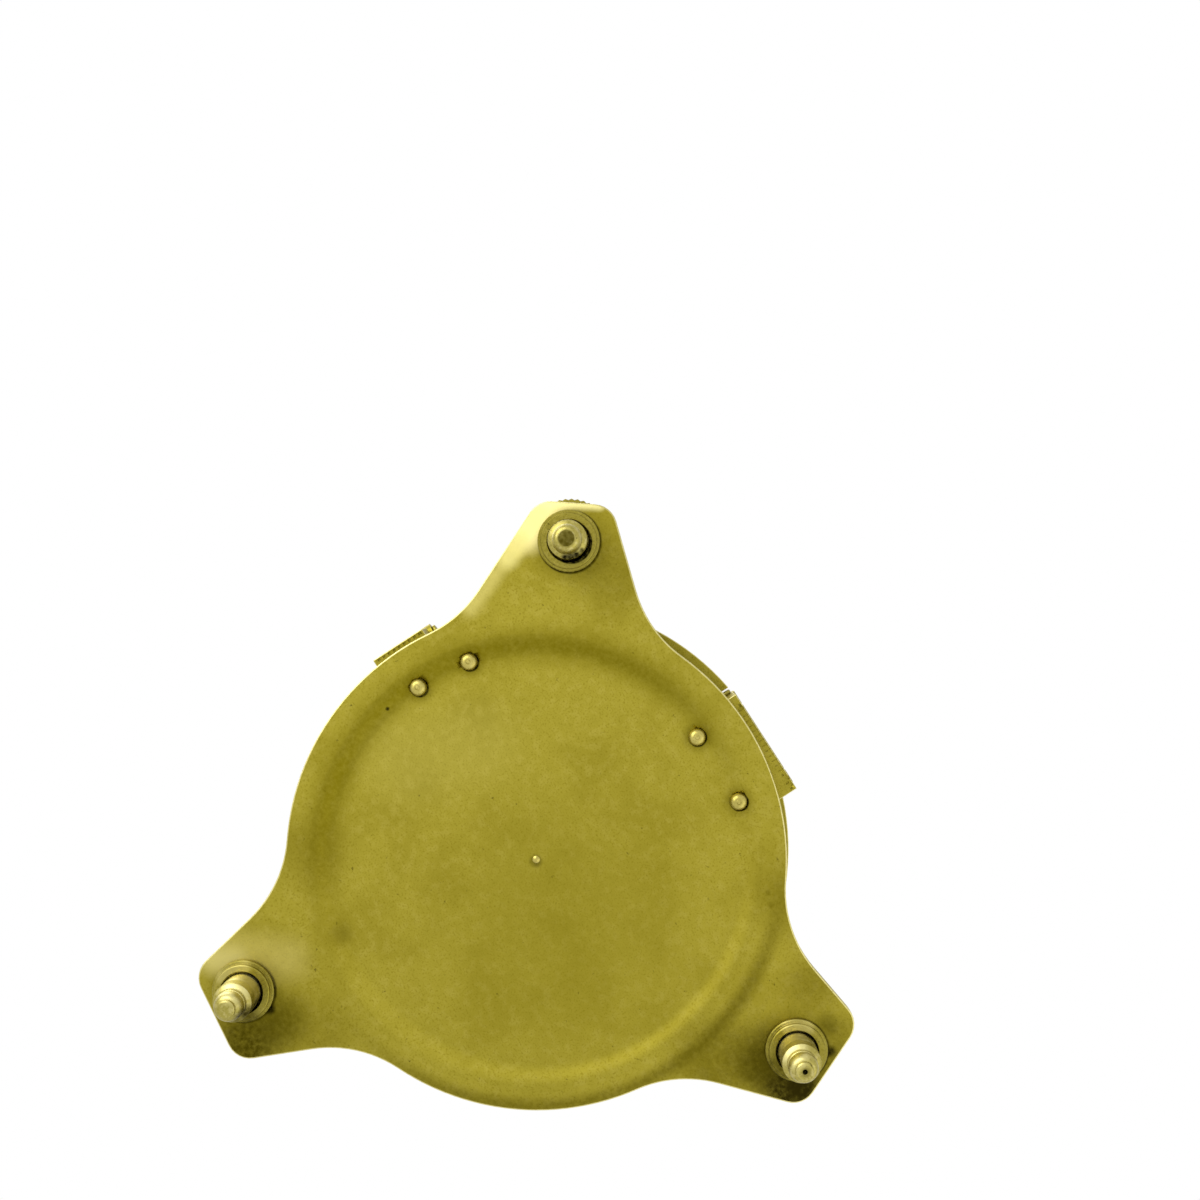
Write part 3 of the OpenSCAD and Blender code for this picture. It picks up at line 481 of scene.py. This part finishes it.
def drawnPlate(name, outline, low, thick):
    # an outline drawn in plan from point to point, filled, and pulled up to its thickness
    x, y = outline[0]
    piece = startPoint(name, (x, y, low))
    for nextX, nextY in outline[1:]:
        bpy.ops.mesh.extrude_region_move(
            TRANSFORM_OT_translate={"value": ((nextX - x) * mm, (nextY - y) * mm, 0)})
        x, y = nextX, nextY
    bpy.ops.mesh.select_all(action="SELECT")
    bpy.ops.mesh.edge_face_add()
    bpy.ops.mesh.extrude_region_move(TRANSFORM_OT_translate={"value": (0, 0, thick * mm)})
    bpy.ops.mesh.select_all(action="SELECT")
    bpy.ops.mesh.normals_make_consistent(inside=False)
    leaveEdit()
    return piece


def spunRound(piece, count):
    edit(piece)
    bpy.ops.mesh.spin(steps=count - 1, dupli=True, angle=2 * math.pi * (count - 1) / count,
                      center=(0, 0, 0), axis=(0, 0, 1))
    leaveEdit()
    return piece


def tickMark(wide, inner, outer, low, thick):
    # a straight mark that points away from the middle
    return drawnPlate("tick", [(-wide / 2, inner), (wide / 2, inner), (wide / 2, outer),
                               (-wide / 2, outer)], low, thick)


def roundScale(rows, low, thick):
    # ticks all the way round: their number, inner and outer radius, and width
    return [spunRound(tickMark(wide, inner, outer, low, thick), count)
            for count, inner, outer, wide in rows]


def helix(name, thread):
    # one turn's outline wound upward by a Screw modifier, then cut off square at both ends
    piece = startPoint(name, (thread["root"], 0, thread["low"]))
    rise = (thread["crest"] - thread["root"]) * mm
    for out in (rise, -rise):
        bpy.ops.mesh.extrude_region_move(
            TRANSFORM_OT_translate={"value": (out, 0, thread["pitch"] / 2 * mm)})
    leaveEdit()
    screw = piece.modifiers.new("thread", "SCREW")
    screw.steps = screw.render_steps = thread["segments"]
    screw.screw_offset = thread["pitch"] * mm
    screw.iterations = thread["turns"]
    screw.use_merge_vertices = True
    screw.merge_threshold = weldDistance
    bpy.ops.object.modifier_apply(modifier=screw.name)
    edit(piece)
    bpy.ops.mesh.remove_doubles(threshold=weldDistance)
    for height, top in ((thread["cutLow"], False), (thread["cutHigh"], True)):
        bpy.ops.mesh.select_all(action="SELECT")
        bpy.ops.mesh.bisect(plane_co=(0, 0, height * mm), plane_no=(0, 0, 1), use_fill=True,
                            clear_inner=not top, clear_outer=top)
    bpy.ops.mesh.select_all(action="SELECT")
    bpy.ops.mesh.normals_make_consistent(inside=False)
    leaveEdit()
    return piece


def lettering(words, size, radius, degree, middle, low, thick):
    # a figure or word on a round scale: degree runs clockwise from +Y, its foot toward the middle
    bpy.ops.object.select_all(action="DESELECT")
    bpy.ops.object.text_add(location=(0, 0, 0))
    mark = bpy.context.object
    mark.data.body = words
    mark.data.size = size * mm
    mark.data.align_x = "CENTER"
    mark.data.align_y = "CENTER"
    mark.data.extrude = thick / 2 * mm
    mark.data.resolution_u = 3
    bpy.ops.object.convert(target="MESH")
    mark = bpy.context.object
    angle = math.radians(degree)
    mark.location = ((middle[0] + radius * math.sin(angle)) * mm,
                     (middle[1] + radius * math.cos(angle)) * mm, (low + thick / 2) * mm)
    mark.rotation_euler[2] = -angle
    settle(mark)
    edit(mark)
    bpy.ops.mesh.remove_doubles(threshold=weldDistance)
    bpy.ops.mesh.normals_make_consistent(inside=False)
    leaveEdit()
    return mark


def copyOfNode(nodeName, pieceName):
    piece = bpy.data.objects.new(pieceName, nodes[nodeName].data.copy())
    bpy.context.scene.collection.objects.link(piece)
    edit(piece)
    bpy.ops.mesh.remove_doubles(threshold=cadWeldDistance)
    bpy.ops.mesh.dissolve_limited(angle_limit=flatTurn)
    leaveEdit()
    return piece


def copyPiece(piece, name):
    twin = piece.copy()
    twin.data = piece.data.copy()
    twin.name = name
    bpy.context.scene.collection.objects.link(twin)
    return twin


def joinPieces(*pieces):
    select(*pieces)
    bpy.ops.object.join()
    return pieces[0]


def discard(*pieces):
    for piece in pieces:
        bpy.data.objects.remove(piece)


def block(middle, size):
    bpy.ops.object.select_all(action="DESELECT")
    bpy.ops.mesh.primitive_cube_add(size=mm, location=[c * mm for c in middle])
    cutter = bpy.context.object
    cutter.scale = size
    settle(cutter)
    return cutter


def cut(piece, cutter):
    select(piece)
    taken = piece.modifiers.new("cut", "BOOLEAN")
    taken.operation = "DIFFERENCE"
    taken.solver = "EXACT"
    taken.object = cutter
    bpy.ops.object.modifier_apply(modifier=taken.name)
    discard(cutter)


def bevelEdges(piece, width, paleTint=False):
    # a worn edge takes the piece's second material, which is rubbed pale
    select(piece)
    bevel = piece.modifiers.new("edges", "BEVEL")
    if paleTint:
        piece.data.materials.append(materials["worn_edge"])
        bevel.material = 1
        bevel.use_clamp_overlap = False
    bevel.width = width * mm
    bevel.segments = bevelSteps
    bevel.limit_method = "ANGLE"
    bevel.angle_limit = sharpTurn
    bpy.ops.object.modifier_apply(modifier=bevel.name)


def finishPiece(piece, slot, replaced=(), material=None, body=None, smooth=30):
    # the body is that of the node it replaces, unless another is named
    settle(piece)
    if smooth:
        bpy.ops.object.shade_smooth_by_angle(angle=math.radians(smooth))
        weighted = piece.modifiers.new("normals", "WEIGHTED_NORMAL")
        weighted.keep_sharp = True
        bpy.ops.object.modifier_apply(modifier=weighted.name)
    wornFaces = [face.index for face in piece.data.polygons if face.material_index]
    piece.data.materials.clear()
    piece.data.materials.append(materials[material or slot])
    if wornFaces:
        piece.data.materials.append(materials["worn_edge"])
    for index in wornFaces:
        piece.data.polygons[index].material_index = 1
    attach(piece, body or bodyOf[replaced[0]])
    if replaced:
        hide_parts(*replaced)
    return piece


# Base plate: the CAD form, its sunk middle brought out to where the photograph has its shoulder,
# and its edges broken, as by a file. The cutter for the middle starts from a narrow core, goes a
# hair past the plate's face, and flares out below it.
sunkMiddle = {
    "floor": 11.72,
    "inner": 30.9,
    "outer": 34.5,
    "steps": 12,
    "segments": 180,
    "core": 0.1,
    "past": 0.001,
    "flare": 0.3,
    "below": 10.0,
}
# Only the edges of the outline are broken: they lie in a face of the plate, beyond a radius, and
# clear of the holes in the ears
plateEdges = {"bevel": 0.22, "beyond": 36.5, "clear": 5.3, "near": 0.01}
drop = sunkMiddle["floor"] - plateFaces["under"]
slope = []
for step in range(sunkMiddle["steps"] + 1):
    share = step / sunkMiddle["steps"]
    slope.append((sunkMiddle["inner"] + share * (sunkMiddle["outer"] - sunkMiddle["inner"]),
                  plateFaces["under"] + drop * (1 + math.cos(math.pi * share)) / 2))
slope[-1] = (sunkMiddle["outer"], plateFaces["under"] - sunkMiddle["past"])
sunkProfile = [(sunkMiddle["core"], sunkMiddle["floor"])] + slope + [
    (sunkMiddle["outer"] + sunkMiddle["flare"], sunkMiddle["below"]),
    (sunkMiddle["core"], sunkMiddle["below"])]
plate = copyOfNode("base_plate", "plate_body")
cut(plate, turned("sunk_middle", sunkProfile, sunkMiddle["segments"]))
edit(plate)
bpy.ops.mesh.select_mode(type="EDGE")
bpy.ops.mesh.select_all(action="DESELECT")
bpy.ops.mesh.edges_select_sharp(sharpness=sharpTurn)
leaveEdit()
for edge in plate.data.edges:
    ends = [plate.data.vertices[index].co / mm for index in edge.vertices]
    at = (ends[0] + ends[1]) / 2
    flatEdge = abs(ends[0].z - ends[1].z) < plateEdges["near"]
    inFace = min(abs(at.z - height) for height in plateFaces.values()) < plateEdges["near"]
    outside = math.hypot(at.x, at.y) > plateEdges["beyond"]
    clearOfHoles = min(math.dist(at[:2], spot) for spot in screwPlaces) > plateEdges["clear"]
    edge.select = edge.select and flatEdge and inFace and outside and clearOfHoles
bpy.ops.object.mode_set(mode="EDIT")
plate.data.materials.append(materials["worn_edge"])
bpy.ops.mesh.bevel(offset=plateEdges["bevel"] * mm, segments=bevelSteps, affect="EDGES",
                   clamp_overlap=False, material=1)
leaveEdit()
finishPiece(plate, "brass", ["base_plate"], "plate")
wornArea = sum(face.area for face in plate.data.polygons if face.material_index) / mm / mm
print("plate made:", len(plate.data.polygons), "faces, worn edge", round(wornArea, 1), "square mm")

# Bushes in the ears: two turned steps under the plate, and a collar on top of it
bush = {
    "profile": [(3.0, 9.8), (3.3, 9.4), (4.06, 9.4), (4.2, 9.52), (4.2, 10.1), (4.28, 10.2),
                (4.56, 10.2), (4.7, 10.34), (4.7, 11.0), (3.9, 11.0), (3.9, 13.2), (4.7, 13.2),
                (4.7, 13.6), (4.5, 13.8), (3.12, 13.8), (3.0, 13.68)],
    "segments": 72,
}
# Levelling screws: a flat nib, drilled in one of them, a rounded shoulder with a groove behind it,
# a fine thread, and a spigot for the knob with a rounded end
stud = {
    "nib": {"plain": [(0.1, 0.0), (0.6, 0.0), (1.16, 0.0), (1.35, 0.16)],
            "drilled": [(0.1, 0.5), (0.3, 0.34), (0.38, 0.06), (0.5, 0.0), (1.18, 0.0),
                        (1.35, 0.16)]},
    "drilledOne": 2,
    "tip": [(1.35, 0.8), (1.62, 0.87), (1.85, 1.07), (2.04, 1.38), (2.16, 1.77), (2.2, 2.2),
            (2.2, 2.5), (2.13, 2.56), (2.13, 2.72), (2.2, 2.78), (2.2, 3.5), (2.28, 3.62),
            (2.78, 3.86), (2.88, 3.98), (2.9, 4.12), (2.9, 6.0), (2.74, 6.2), (2.74, 6.4)],
    "spigot": [(2.74, 16.7), (2.74, 16.85), (2.9, 17.0), (2.9, 17.2), (2.3, 17.2), (2.3, 21.7),
               (2.2, 21.86), (1.7, 22.08), (1.0, 22.18), (0.3, 22.2)],
    "segments": 48,
    "thread": {"root": 2.76, "crest": 2.9, "pitch": 0.8, "low": 6.0, "turns": 14,
               "cutLow": 6.3, "cutHigh": 16.8, "segments": 40},
}
# Knobs: knurled in four rows of points, all beyond one radius, with a dished top
knob = {
    "profile": [(2.35, 17.2), (6.15, 17.2), (6.62, 17.68), (6.62, 18.68), (6.62, 19.68),
                (6.62, 20.68), (6.62, 21.68), (6.15, 22.2), (4.92, 22.2), (4.8, 22.12),
                (4.38, 21.74), (4.3, 21.7), (2.35, 21.7)],
    "cells": 44,
    "point": 0.27,
    "beyond": 6.5,
}

bushForm = turned("bush_form", bush["profile"], bush["segments"], ring=True)
spigot = turned("spigot_form", stud["spigot"], stud["segments"])
thread = helix("thread_form", stud["thread"])
shankForm = joinPieces(spigot, thread)
knobForm = turned("knob_form", knob["profile"], knob["cells"], ring=True)
edit(knobForm)
pick(knobForm, "faces",
     lambda at, way: math.hypot(at.x, at.y) > knob["beyond"] and abs(way.z) < uprightRise)
bpy.ops.mesh.poke(offset=knob["point"] * mm)
leaveEdit()
for i, (turn, (x, y)) in enumerate(zip(screwTurns, screwPlaces), 1):
    nib = stud["nib"]["drilled" if i == stud["drilledOne"] else "plain"]
    tip = turned("tip_form", nib + stud["tip"], stud["segments"])
    screw = joinPieces(tip, copyPiece(shankForm, "shank"))
    bushPiece, knobPiece = copyPiece(bushForm, "bush"), copyPiece(knobForm, "knob")
    for piece, node, slot, finish in ((bushPiece, "levelling_bush", "dull_brass", "bush"),
                                      (screw, "levelling_stud", "dull_brass", "stud"),
                                      (knobPiece, "knurled_knob", "brass", None)):
        piece.name = f"{node}_{i}_turned"
        piece.location = (x * mm, y * mm, 0)
        piece.rotation_euler[2] = math.radians(turn)
        finishPiece(piece, slot, [f"{node}_{i}"], finish)
discard(bushForm, shankForm, knobForm)
print("bushes, screws and knobs made")

# Rivets: a domed head flattened in the middle round a small pip, and an end peened into the leaf
rivet = {
    "profile": [(0.1, 10.2), (0.26, 10.22), (0.38, 10.34), (0.6, 10.33), (0.85, 10.41),
                (1.1, 10.6), (1.25, 10.85), (1.3, 11.1), (1.3, 11.75), (0.85, 11.7), (0.85, 13.8),
                (1.35, 14.4), (0.3, 14.4)],
    "segments": 40,
    "pairs": {"ring_bracket_rivets": rivetPlaces[:2], "arc_bracket_rivets": rivetPlaces[2:]},
}
rivetForm = turned("rivet_form", rivet["profile"], rivet["segments"])
for node, places in rivet["pairs"].items():
    pair = [copyPiece(rivetForm, node + "_domed") for place in places]
    for one, (x, y) in zip(pair, places):
        one.location = (x * mm, y * mm, 0)
    settle(*pair)
    finishPiece(joinPieces(*pair), "bright_brass", [node])
discard(rivetForm)

# Hinge brackets, with what shows along their edges under the plate: a shallow channel, by its
# place, size and depth, a row of deeper marks, and pits
bracketMarks = {
    "arc_bracket": {
        "channel": ((38.45, -0.1), (0.5, 8.2), 0.1),
        "row": dict(arcRow, size=(0.36, 0.42), depth=0.4),
        "pits": [],
    },
    "ring_bracket": {
        "channel": ((-3.6, 38.75), (13.0, 0.36), 0.08),
        "row": {"count": 12, "first": (0.9, 38.6), "step": (-0.9, 0), "size": (0.2, 0.9),
                "depth": 0.16},
        "pits": [((2.1, 38.6), (0.42, 0.9)), ((-9.8, 38.4), (0.4, 0.3)),
                 ((-10.6, 38.9), (0.5, 0.36)), ((-11.2, 38.35), (0.36, 0.5)),
                 ((-11.7, 38.8), (0.55, 0.3)), ((-12.2, 38.45), (0.3, 0.42))],
    },
}
bracketBevel = 0.1
pitDepth = 0.3
for node, marks in bracketMarks.items():
    bracket = copyOfNode(node, node + "_body")
    bevelEdges(bracket, bracketBevel, paleTint=True)
    row = marks["row"]
    hollows = [marks["channel"]] + [(spot, row["size"], row["depth"]) for spot in rowPlaces(row)]
    hollows += [(spot, size, pitDepth) for spot, size in marks["pits"]]
    for spot, size, depth in hollows:
        cut(bracket, block(spot + (plateFaces["top"],), size + (2 * depth,)))
    finishPiece(bracket, "brass", [node], "bracket")
print("rivets and brackets made")

# Forms that the CAD gives whole: only their edges are broken
eased = {
    "ring_hinge_pin": 0.25,
    "arc_hinge_pin": 0.22,
    "hour_ring": 0.12,
    "latitude_arc": 0.1,
    "gnomon_bar": 0.16,
    "gnomon_rod": 0.08,
    "compass_bowl": 0.12,
    "level_case_x": 0.12,
    "level_case_y": 0.12,
    "level_plugs_x": 0.12,
    "level_plugs_y": 0.12,
    "pivot_post": 0.05,
    "needle_cap": 0.06,
}
for node, width in eased.items():
    piece = copyOfNode(node, node + "_eased")
    bevelEdges(piece, width, paleTint=node == "hour_ring")
    finishPiece(piece, slotOf[node], [node])
print("plain brass forms eased:", len(eased))

# Bezel: a pressed ring with a sloping lip over the glass; the skirt's faces are sunk one by one, so
# that ribs are left between them
bezel = {
    "profile": [(24.55, 15.8), (25.28, 15.8), (25.4, 15.92), (25.4, 18.3), (25.3, 18.5),
                (25.14, 18.56), (25.14, 18.72), (24.86, 19.0), (23.2, 19.0), (22.85, 18.86),
                (22.6, 18.5), (22.6, 18.2), (24.55, 18.2)],
    "notches": 180,
    "beyond": 25.3,
    "skirt": (16, 18),
    "rib": 0.14,
    "deep": 0.1,
}
bezelRing = turned("bezel_ring_milled", bezel["profile"], bezel["notches"], ring=True)
edit(bezelRing)
pick(bezelRing, "faces",
     lambda at, way: math.hypot(at.x, at.y) > bezel["beyond"] and abs(way.z) < uprightRise
     and bezel["skirt"][0] < at.z < bezel["skirt"][1])
bpy.ops.mesh.inset(thickness=bezel["rib"] * mm, depth=-bezel["deep"] * mm, use_individual=True)
leaveEdit()
finishPiece(bezelRing, "brass", ["bezel_ring"])

# Glass: a flat disc with its edge ground
glass = {"profile": [(23.05, 17.0), (23.25, 17.2), (23.25, 18.0), (23.05, 18.2)], "segments": 128}
glassDisc = turned("compass_glass_disc", glass["profile"], glass["segments"])
finishPiece(glassDisc, "clear_glass", ["compass_glass"])

# Needle: a flat diamond with a ridge along each half, north half blued and south half bright
needle = {"half": 19.0, "width": 1.7, "hole": 1.02, "low": 15.75, "edge": 0.18, "ridge": 0.17,
          "near": 0.01}
for end, finish, way in (("north", "blued_steel", 1), ("south", "bright_steel", -1)):
    hole = [(needle["hole"] * math.cos(angle), way * needle["hole"] * math.sin(angle))
            for angle in map(math.radians, range(0, 181, 30))]
    outline = [(needle["width"], 0)] + hole + [(-needle["width"], 0), (0, way * needle["half"])]
    half = drawnPlate("needle_" + end, outline, needle["low"], needle["edge"])
    edit(half)
    bpy.ops.mesh.bisect(plane_co=(0, 0, 0), plane_no=(1, 0, 0))
    halfway = needle["low"] + needle["edge"] / 2
    pick(half, "verts", lambda at: abs(at.x) < needle["near"] and at.z > halfway)
    bpy.ops.transform.translate(value=(0, 0, needle["ridge"] * mm))
    leaveEdit()
    finishPiece(half, "blued_steel", ["needle"], finish, smooth=0)
print("bezel, glass and needle made")

# Dial card: degree scale, figures every 30 degrees, four letters and an eight-pointed rose, whose
# points are filled on one side and have a wedge along the edge of the other
dial = {
    "top": 14.8,
    "thick": 0.04,
    "scales": [(180, 21.35, 22.1, 0.12), (72, 20.9, 22.1, 0.16), (36, 20.4, 22.1, 0.24)],
    "figures": {"radius": 18.9, "size": 1.75},
    "letters": {"radius": 15.2, "size": 3.5},
    "rose": [(13.0, 1.7, 0), (8.4, 1.5, 45)],
    "wedge": {"gap": 0.14, "tip": 0.6, "across": 0.2, "down": 0.04, "tail": 2.2},
    "lines": [(22.1, 0.14), (17.4, 0.14), (4.6, 0.16)],
    "segments": 160,
}
low = dial["top"] - dial["thick"] / 2
top = low + dial["thick"]
marks = roundScale(dial["scales"], low, dial["thick"])
wedge = dial["wedge"]
for reach, waist, start in dial["rose"]:
    filled = [(0, 0), (waist, waist), (0, reach)]
    edged = [(-wedge["gap"], reach - wedge["tip"]), (-waist, waist),
             (-waist + wedge["across"], waist - wedge["down"]),
             (-wedge["gap"], reach - wedge["tail"])]
    for outline in (filled, edged):
        dart = drawnPlate("dart", outline, low, dial["thick"])
        edit(dart)
        bpy.ops.transform.rotate(value=math.radians(start), orient_axis="Z",
                                 center_override=(0, 0, 0))
        leaveEdit()
        marks.append(spunRound(dart, 4))
for radius, wide in dial["lines"]:
    line = [(radius - wide, low), (radius, low), (radius, top), (radius - wide, top)]
    marks.append(turned("line", line, dial["segments"], ring=True))
writing = [(str(degree), degree, dial["figures"]) for degree in range(0, 360, 30)]
writing += [(letter, degree, dial["letters"])
            for letter, degree in (("N", 0), ("E", 90), ("S", 180), ("W", 270))]
for words, degree, kind in writing:
    marks.append(lettering(words, kind["size"], kind["radius"], degree, (0, 0), low,
                           dial["thick"]))
card = joinPieces(*marks)
card.name = "dial_card_marks"
finishPiece(card, "blued_steel", material="black_wax", body="base", smooth=0)
print("dial card marked:", len(card.data.polygons), "faces")

# Hour ring: two rounds of twelve hours in Roman figures, with a tick each quarter of an hour
hours = {
    "middle": (0, 0.6),
    "top": 21.15,
    "thick": 0.04,
    "radius": 34.75,
    "size": 1.75,
    "ticks": [(96, 32.5, 33.1, 0.12), (24, 32.5, 33.5, 0.18)],
    "slot": (1.4, 5.7),
}
roman = ("XII", "I", "II", "III", "IIII", "V", "VI", "VII", "VIII", "IX", "X", "XI")
low = hours["top"] - hours["thick"] / 2
ringTicks = joinPieces(*roundScale(hours["ticks"], low, hours["thick"]))
ringTicks.location = (hours["middle"][0] * mm, hours["middle"][1] * mm, 0)
settle(ringTicks)
# no ticks over the slot for the latitude arc
edit(ringTicks)
pick(ringTicks, "verts", lambda at: at.x > 0 and hours["slot"][0] < at.y < hours["slot"][1])
bpy.ops.mesh.delete(type="VERT")
leaveEdit()
marks = [ringTicks]
for hour in range(24):
    marks.append(lettering(roman[hour % 12], hours["size"], hours["radius"], hour * 15,
                           hours["middle"], low, hours["thick"]))
hourMarks = joinPieces(*marks)
hourMarks.name = "hour_figures"
finishPiece(hourMarks, "brass", material="black_wax", body="hour_ring", smooth=0)

# Latitude arc: a tick each degree, figures each ten; its middle is where the axes of the two
# hinges meet
scale = {
    "middle": (37.8, 37.8),
    "top": 21.9,
    "thick": 0.04,
    "ticks": range(14, 77),
    "figures": range(20, 71, 10),
    "inner": 32.25,
    "short": 0.7,
    "long": 1.15,
    "wide": 0.11,
    "radius": 34.9,
    "size": 1.5,
}
low = scale["top"] - scale["thick"] / 2
marks = []
for degree in scale["ticks"]:
    reach = scale["inner"] + (scale["long"] if degree % 5 == 0 else scale["short"])
    tick = tickMark(scale["wide"], scale["inner"], reach, low, scale["thick"])
    tick.rotation_euler[2] = math.radians(180 - degree)
    tick.location = (scale["middle"][0] * mm, scale["middle"][1] * mm, 0)
    settle(tick)
    marks.append(tick)
for degree in scale["figures"]:
    marks.append(lettering(str(90 - degree), scale["size"], scale["radius"], 180 + degree,
                           scale["middle"], low, scale["thick"]))
arcMarks = joinPieces(*marks)
arcMarks.name = "latitude_figures"
finishPiece(arcMarks, "brass", material="black_wax", body="latitude_arc", smooth=0)
print("ring and arc figured")

# Spirit levels: the dyed spirit with a hollow in its top, the bubble in it, and two marker lines
level = {
    "out": 29.0,
    "height": 16.1,
    "hollow": (5.0, 2.2, 1.5),
    "bubble": (4.7, 1.9, 1.2),
    "bubbleHeight": 17.12,
    "bubbleCut": 0.3,
    "sphere": {"segments": 40, "ring_count": 20, "radius": mm / 2},
    "line": [(1.74, -0.1), (1.84, -0.1), (1.84, 0.1), (1.74, 0.1)],
    "lineOut": 2.9,
    "lineSegments": 48,
}
# The two levels, and how the spirit is drawn in from its vial about its middle
levelAxes = {
    "x": {"turn": 0, "middle": (0, -level["out"], level["height"]), "shrink": (1, 0.97, 0.97)},
    "y": {"turn": -90, "middle": (-level["out"], 0, level["height"]), "shrink": (0.97, 1, 0.97)},
}
for axis, vial in levelAxes.items():
    turn = math.radians(vial["turn"])
    eggs = []
    for size in (level["hollow"], level["bubble"]):
        bpy.ops.object.select_all(action="DESELECT")
        bpy.ops.mesh.primitive_uv_sphere_add(**level["sphere"])
        egg = bpy.context.object
        edit(egg)
        bpy.ops.transform.resize(value=size, center_override=(0, 0, 0))
        bpy.ops.transform.translate(value=(0, -level["out"] * mm, level["bubbleHeight"] * mm))
        leaveEdit()
        egg.rotation_euler[2] = turn
        settle(egg)
        eggs.append(egg)
    hollow, bubble = eggs
    spirit = copyOfNode("level_spirit_" + axis, "level_spirit_" + axis + "_dyed")
    edit(spirit)
    bpy.ops.transform.resize(value=vial["shrink"],
                             center_override=[c * mm for c in vial["middle"]])
    leaveEdit()
    cut(spirit, hollow)
    finishPiece(spirit, "level_spirit", ["level_spirit_" + axis])
    bubble.name = "level_bubble_" + axis
    edit(bubble)
    cutHeight = (level["bubbleHeight"] - level["bubbleCut"]) * mm
    bpy.ops.mesh.bisect(plane_co=(0, 0, cutHeight), plane_no=(0, 0, 1), use_fill=True,
                        clear_inner=True)
    leaveEdit()
    finishPiece(bubble, "level_spirit", material="air_bubble", body="base", smooth=60)
    lines = []
    for side in (-1, 1):
        line = turned("level_lines_" + axis, level["line"], level["lineSegments"], ring=True)
        line.rotation_euler[1] = math.radians(90)
        line.location = (side * level["lineOut"] * mm, -level["out"] * mm, level["height"] * mm)
        settle(line)
        lines.append(line)
    joined = joinPieces(*lines)
    joined.rotation_euler[2] = turn
    finishPiece(joined, "blued_steel", material="black_wax", body="base")
print("levels made")

# Camera, light and floor
cameraData = bpy.data.cameras.new("camera")
cameraData.lens = camera["lens"]
cameraData.sensor_width = camera["sensor"]
cameraData.clip_start = camera["clip"] * mm
viewer = bpy.data.objects.new("camera", cameraData)
viewer.location = [c * mm for c in camera["place"]]
viewer.rotation_euler = [math.radians(a) for a in camera["turn"]]
bpy.context.scene.collection.objects.link(viewer)
bpy.context.scene.camera = viewer

# Metres from the middle of the object, by the photograph's right and up and toward its camera
lamps = {
    "key": {"right": -0.24, "up": 0.30, "near": 0.32, "size": 0.42, "power": 1.75},
    "fill": {"right": 0.4, "up": -0.25, "near": 0.4, "size": 0.6, "power": 0.8},
    "top": {"right": -0.3, "up": 0.35, "near": -0.5, "size": 0.6, "power": 2.2},
}
lit = Vector((0, 0, 0.015))
for name, lamp in lamps.items():
    data = bpy.data.lights.new(name, "AREA")
    data.size = lamp["size"]
    data.energy = lamp["power"]
    light = bpy.data.objects.new(name, data)
    light.location = (lit + lamp["right"] * imageRight + lamp["up"] * imageUp
                      + lamp["near"] * imageNear)
    light.rotation_euler = (lit - light.location).to_track_quat("-Z", "Y").to_euler()
    bpy.context.scene.collection.objects.link(light)

# The sky lights softly, and is white where the camera, a reflection or the glass shows it
skyStrength = {"soft": 0.6, "white": 1.0}
world = bpy.data.worlds.new("studio")
bpy.context.scene.world = world
world.use_nodes = True
sky = world.node_tree
sky.nodes.clear()
rays = addNode(sky, "LightPath").node
seen = addNode(sky, "Math", {0: rays.outputs["Is Camera Ray"], 1: rays.outputs["Is Glossy Ray"]},
               operation="MAXIMUM")
seen = addNode(sky, "Math", {0: seen, 1: rays.outputs["Is Transmission Ray"]}, operation="MAXIMUM")
softSky, whiteSky = [addNode(sky, "Background", {"Color": (1, 1, 1, 1), "Strength": strength})
                     for strength in skyStrength.values()]
mixed = addNode(sky, "MixShader", {0: seen, 1: softSky, 2: whiteSky})
addNode(sky, "OutputWorld", {"Surface": mixed})

# The floor is matt off-white, just under the screws' nibs, and clear to a camera below it
floorSheet = {"size": 0.9, "location": (0, 0, -0.0002)}
bpy.ops.object.select_all(action="DESELECT")
bpy.ops.mesh.primitive_plane_add(**floorSheet)
floor = bpy.context.object
floor.name = "floor"
floorPaint = bpy.data.materials.new("floor_paint")
floorPaint.use_nodes = True
tree = floorPaint.node_tree
tree.nodes.clear()
rays = addNode(tree, "LightPath")
side = addNode(tree, "NewGeometry").node
front = addNode(tree, "Math", {0: rays, 1: side.outputs["Backfacing"]}, operation="SUBTRACT")
clear = addNode(tree, "BsdfTransparent")
paint = addNode(tree, "BsdfDiffuse", {"Color": linear("#f4f4f2")})
mixed = addNode(tree, "MixShader", {0: front, 1: clear, 2: paint})
addNode(tree, "OutputMaterial", {"Surface": mixed})
floor.data.materials.append(floorPaint)
bpy.context.scene.view_settings.view_transform = "Standard"
print("stage set")
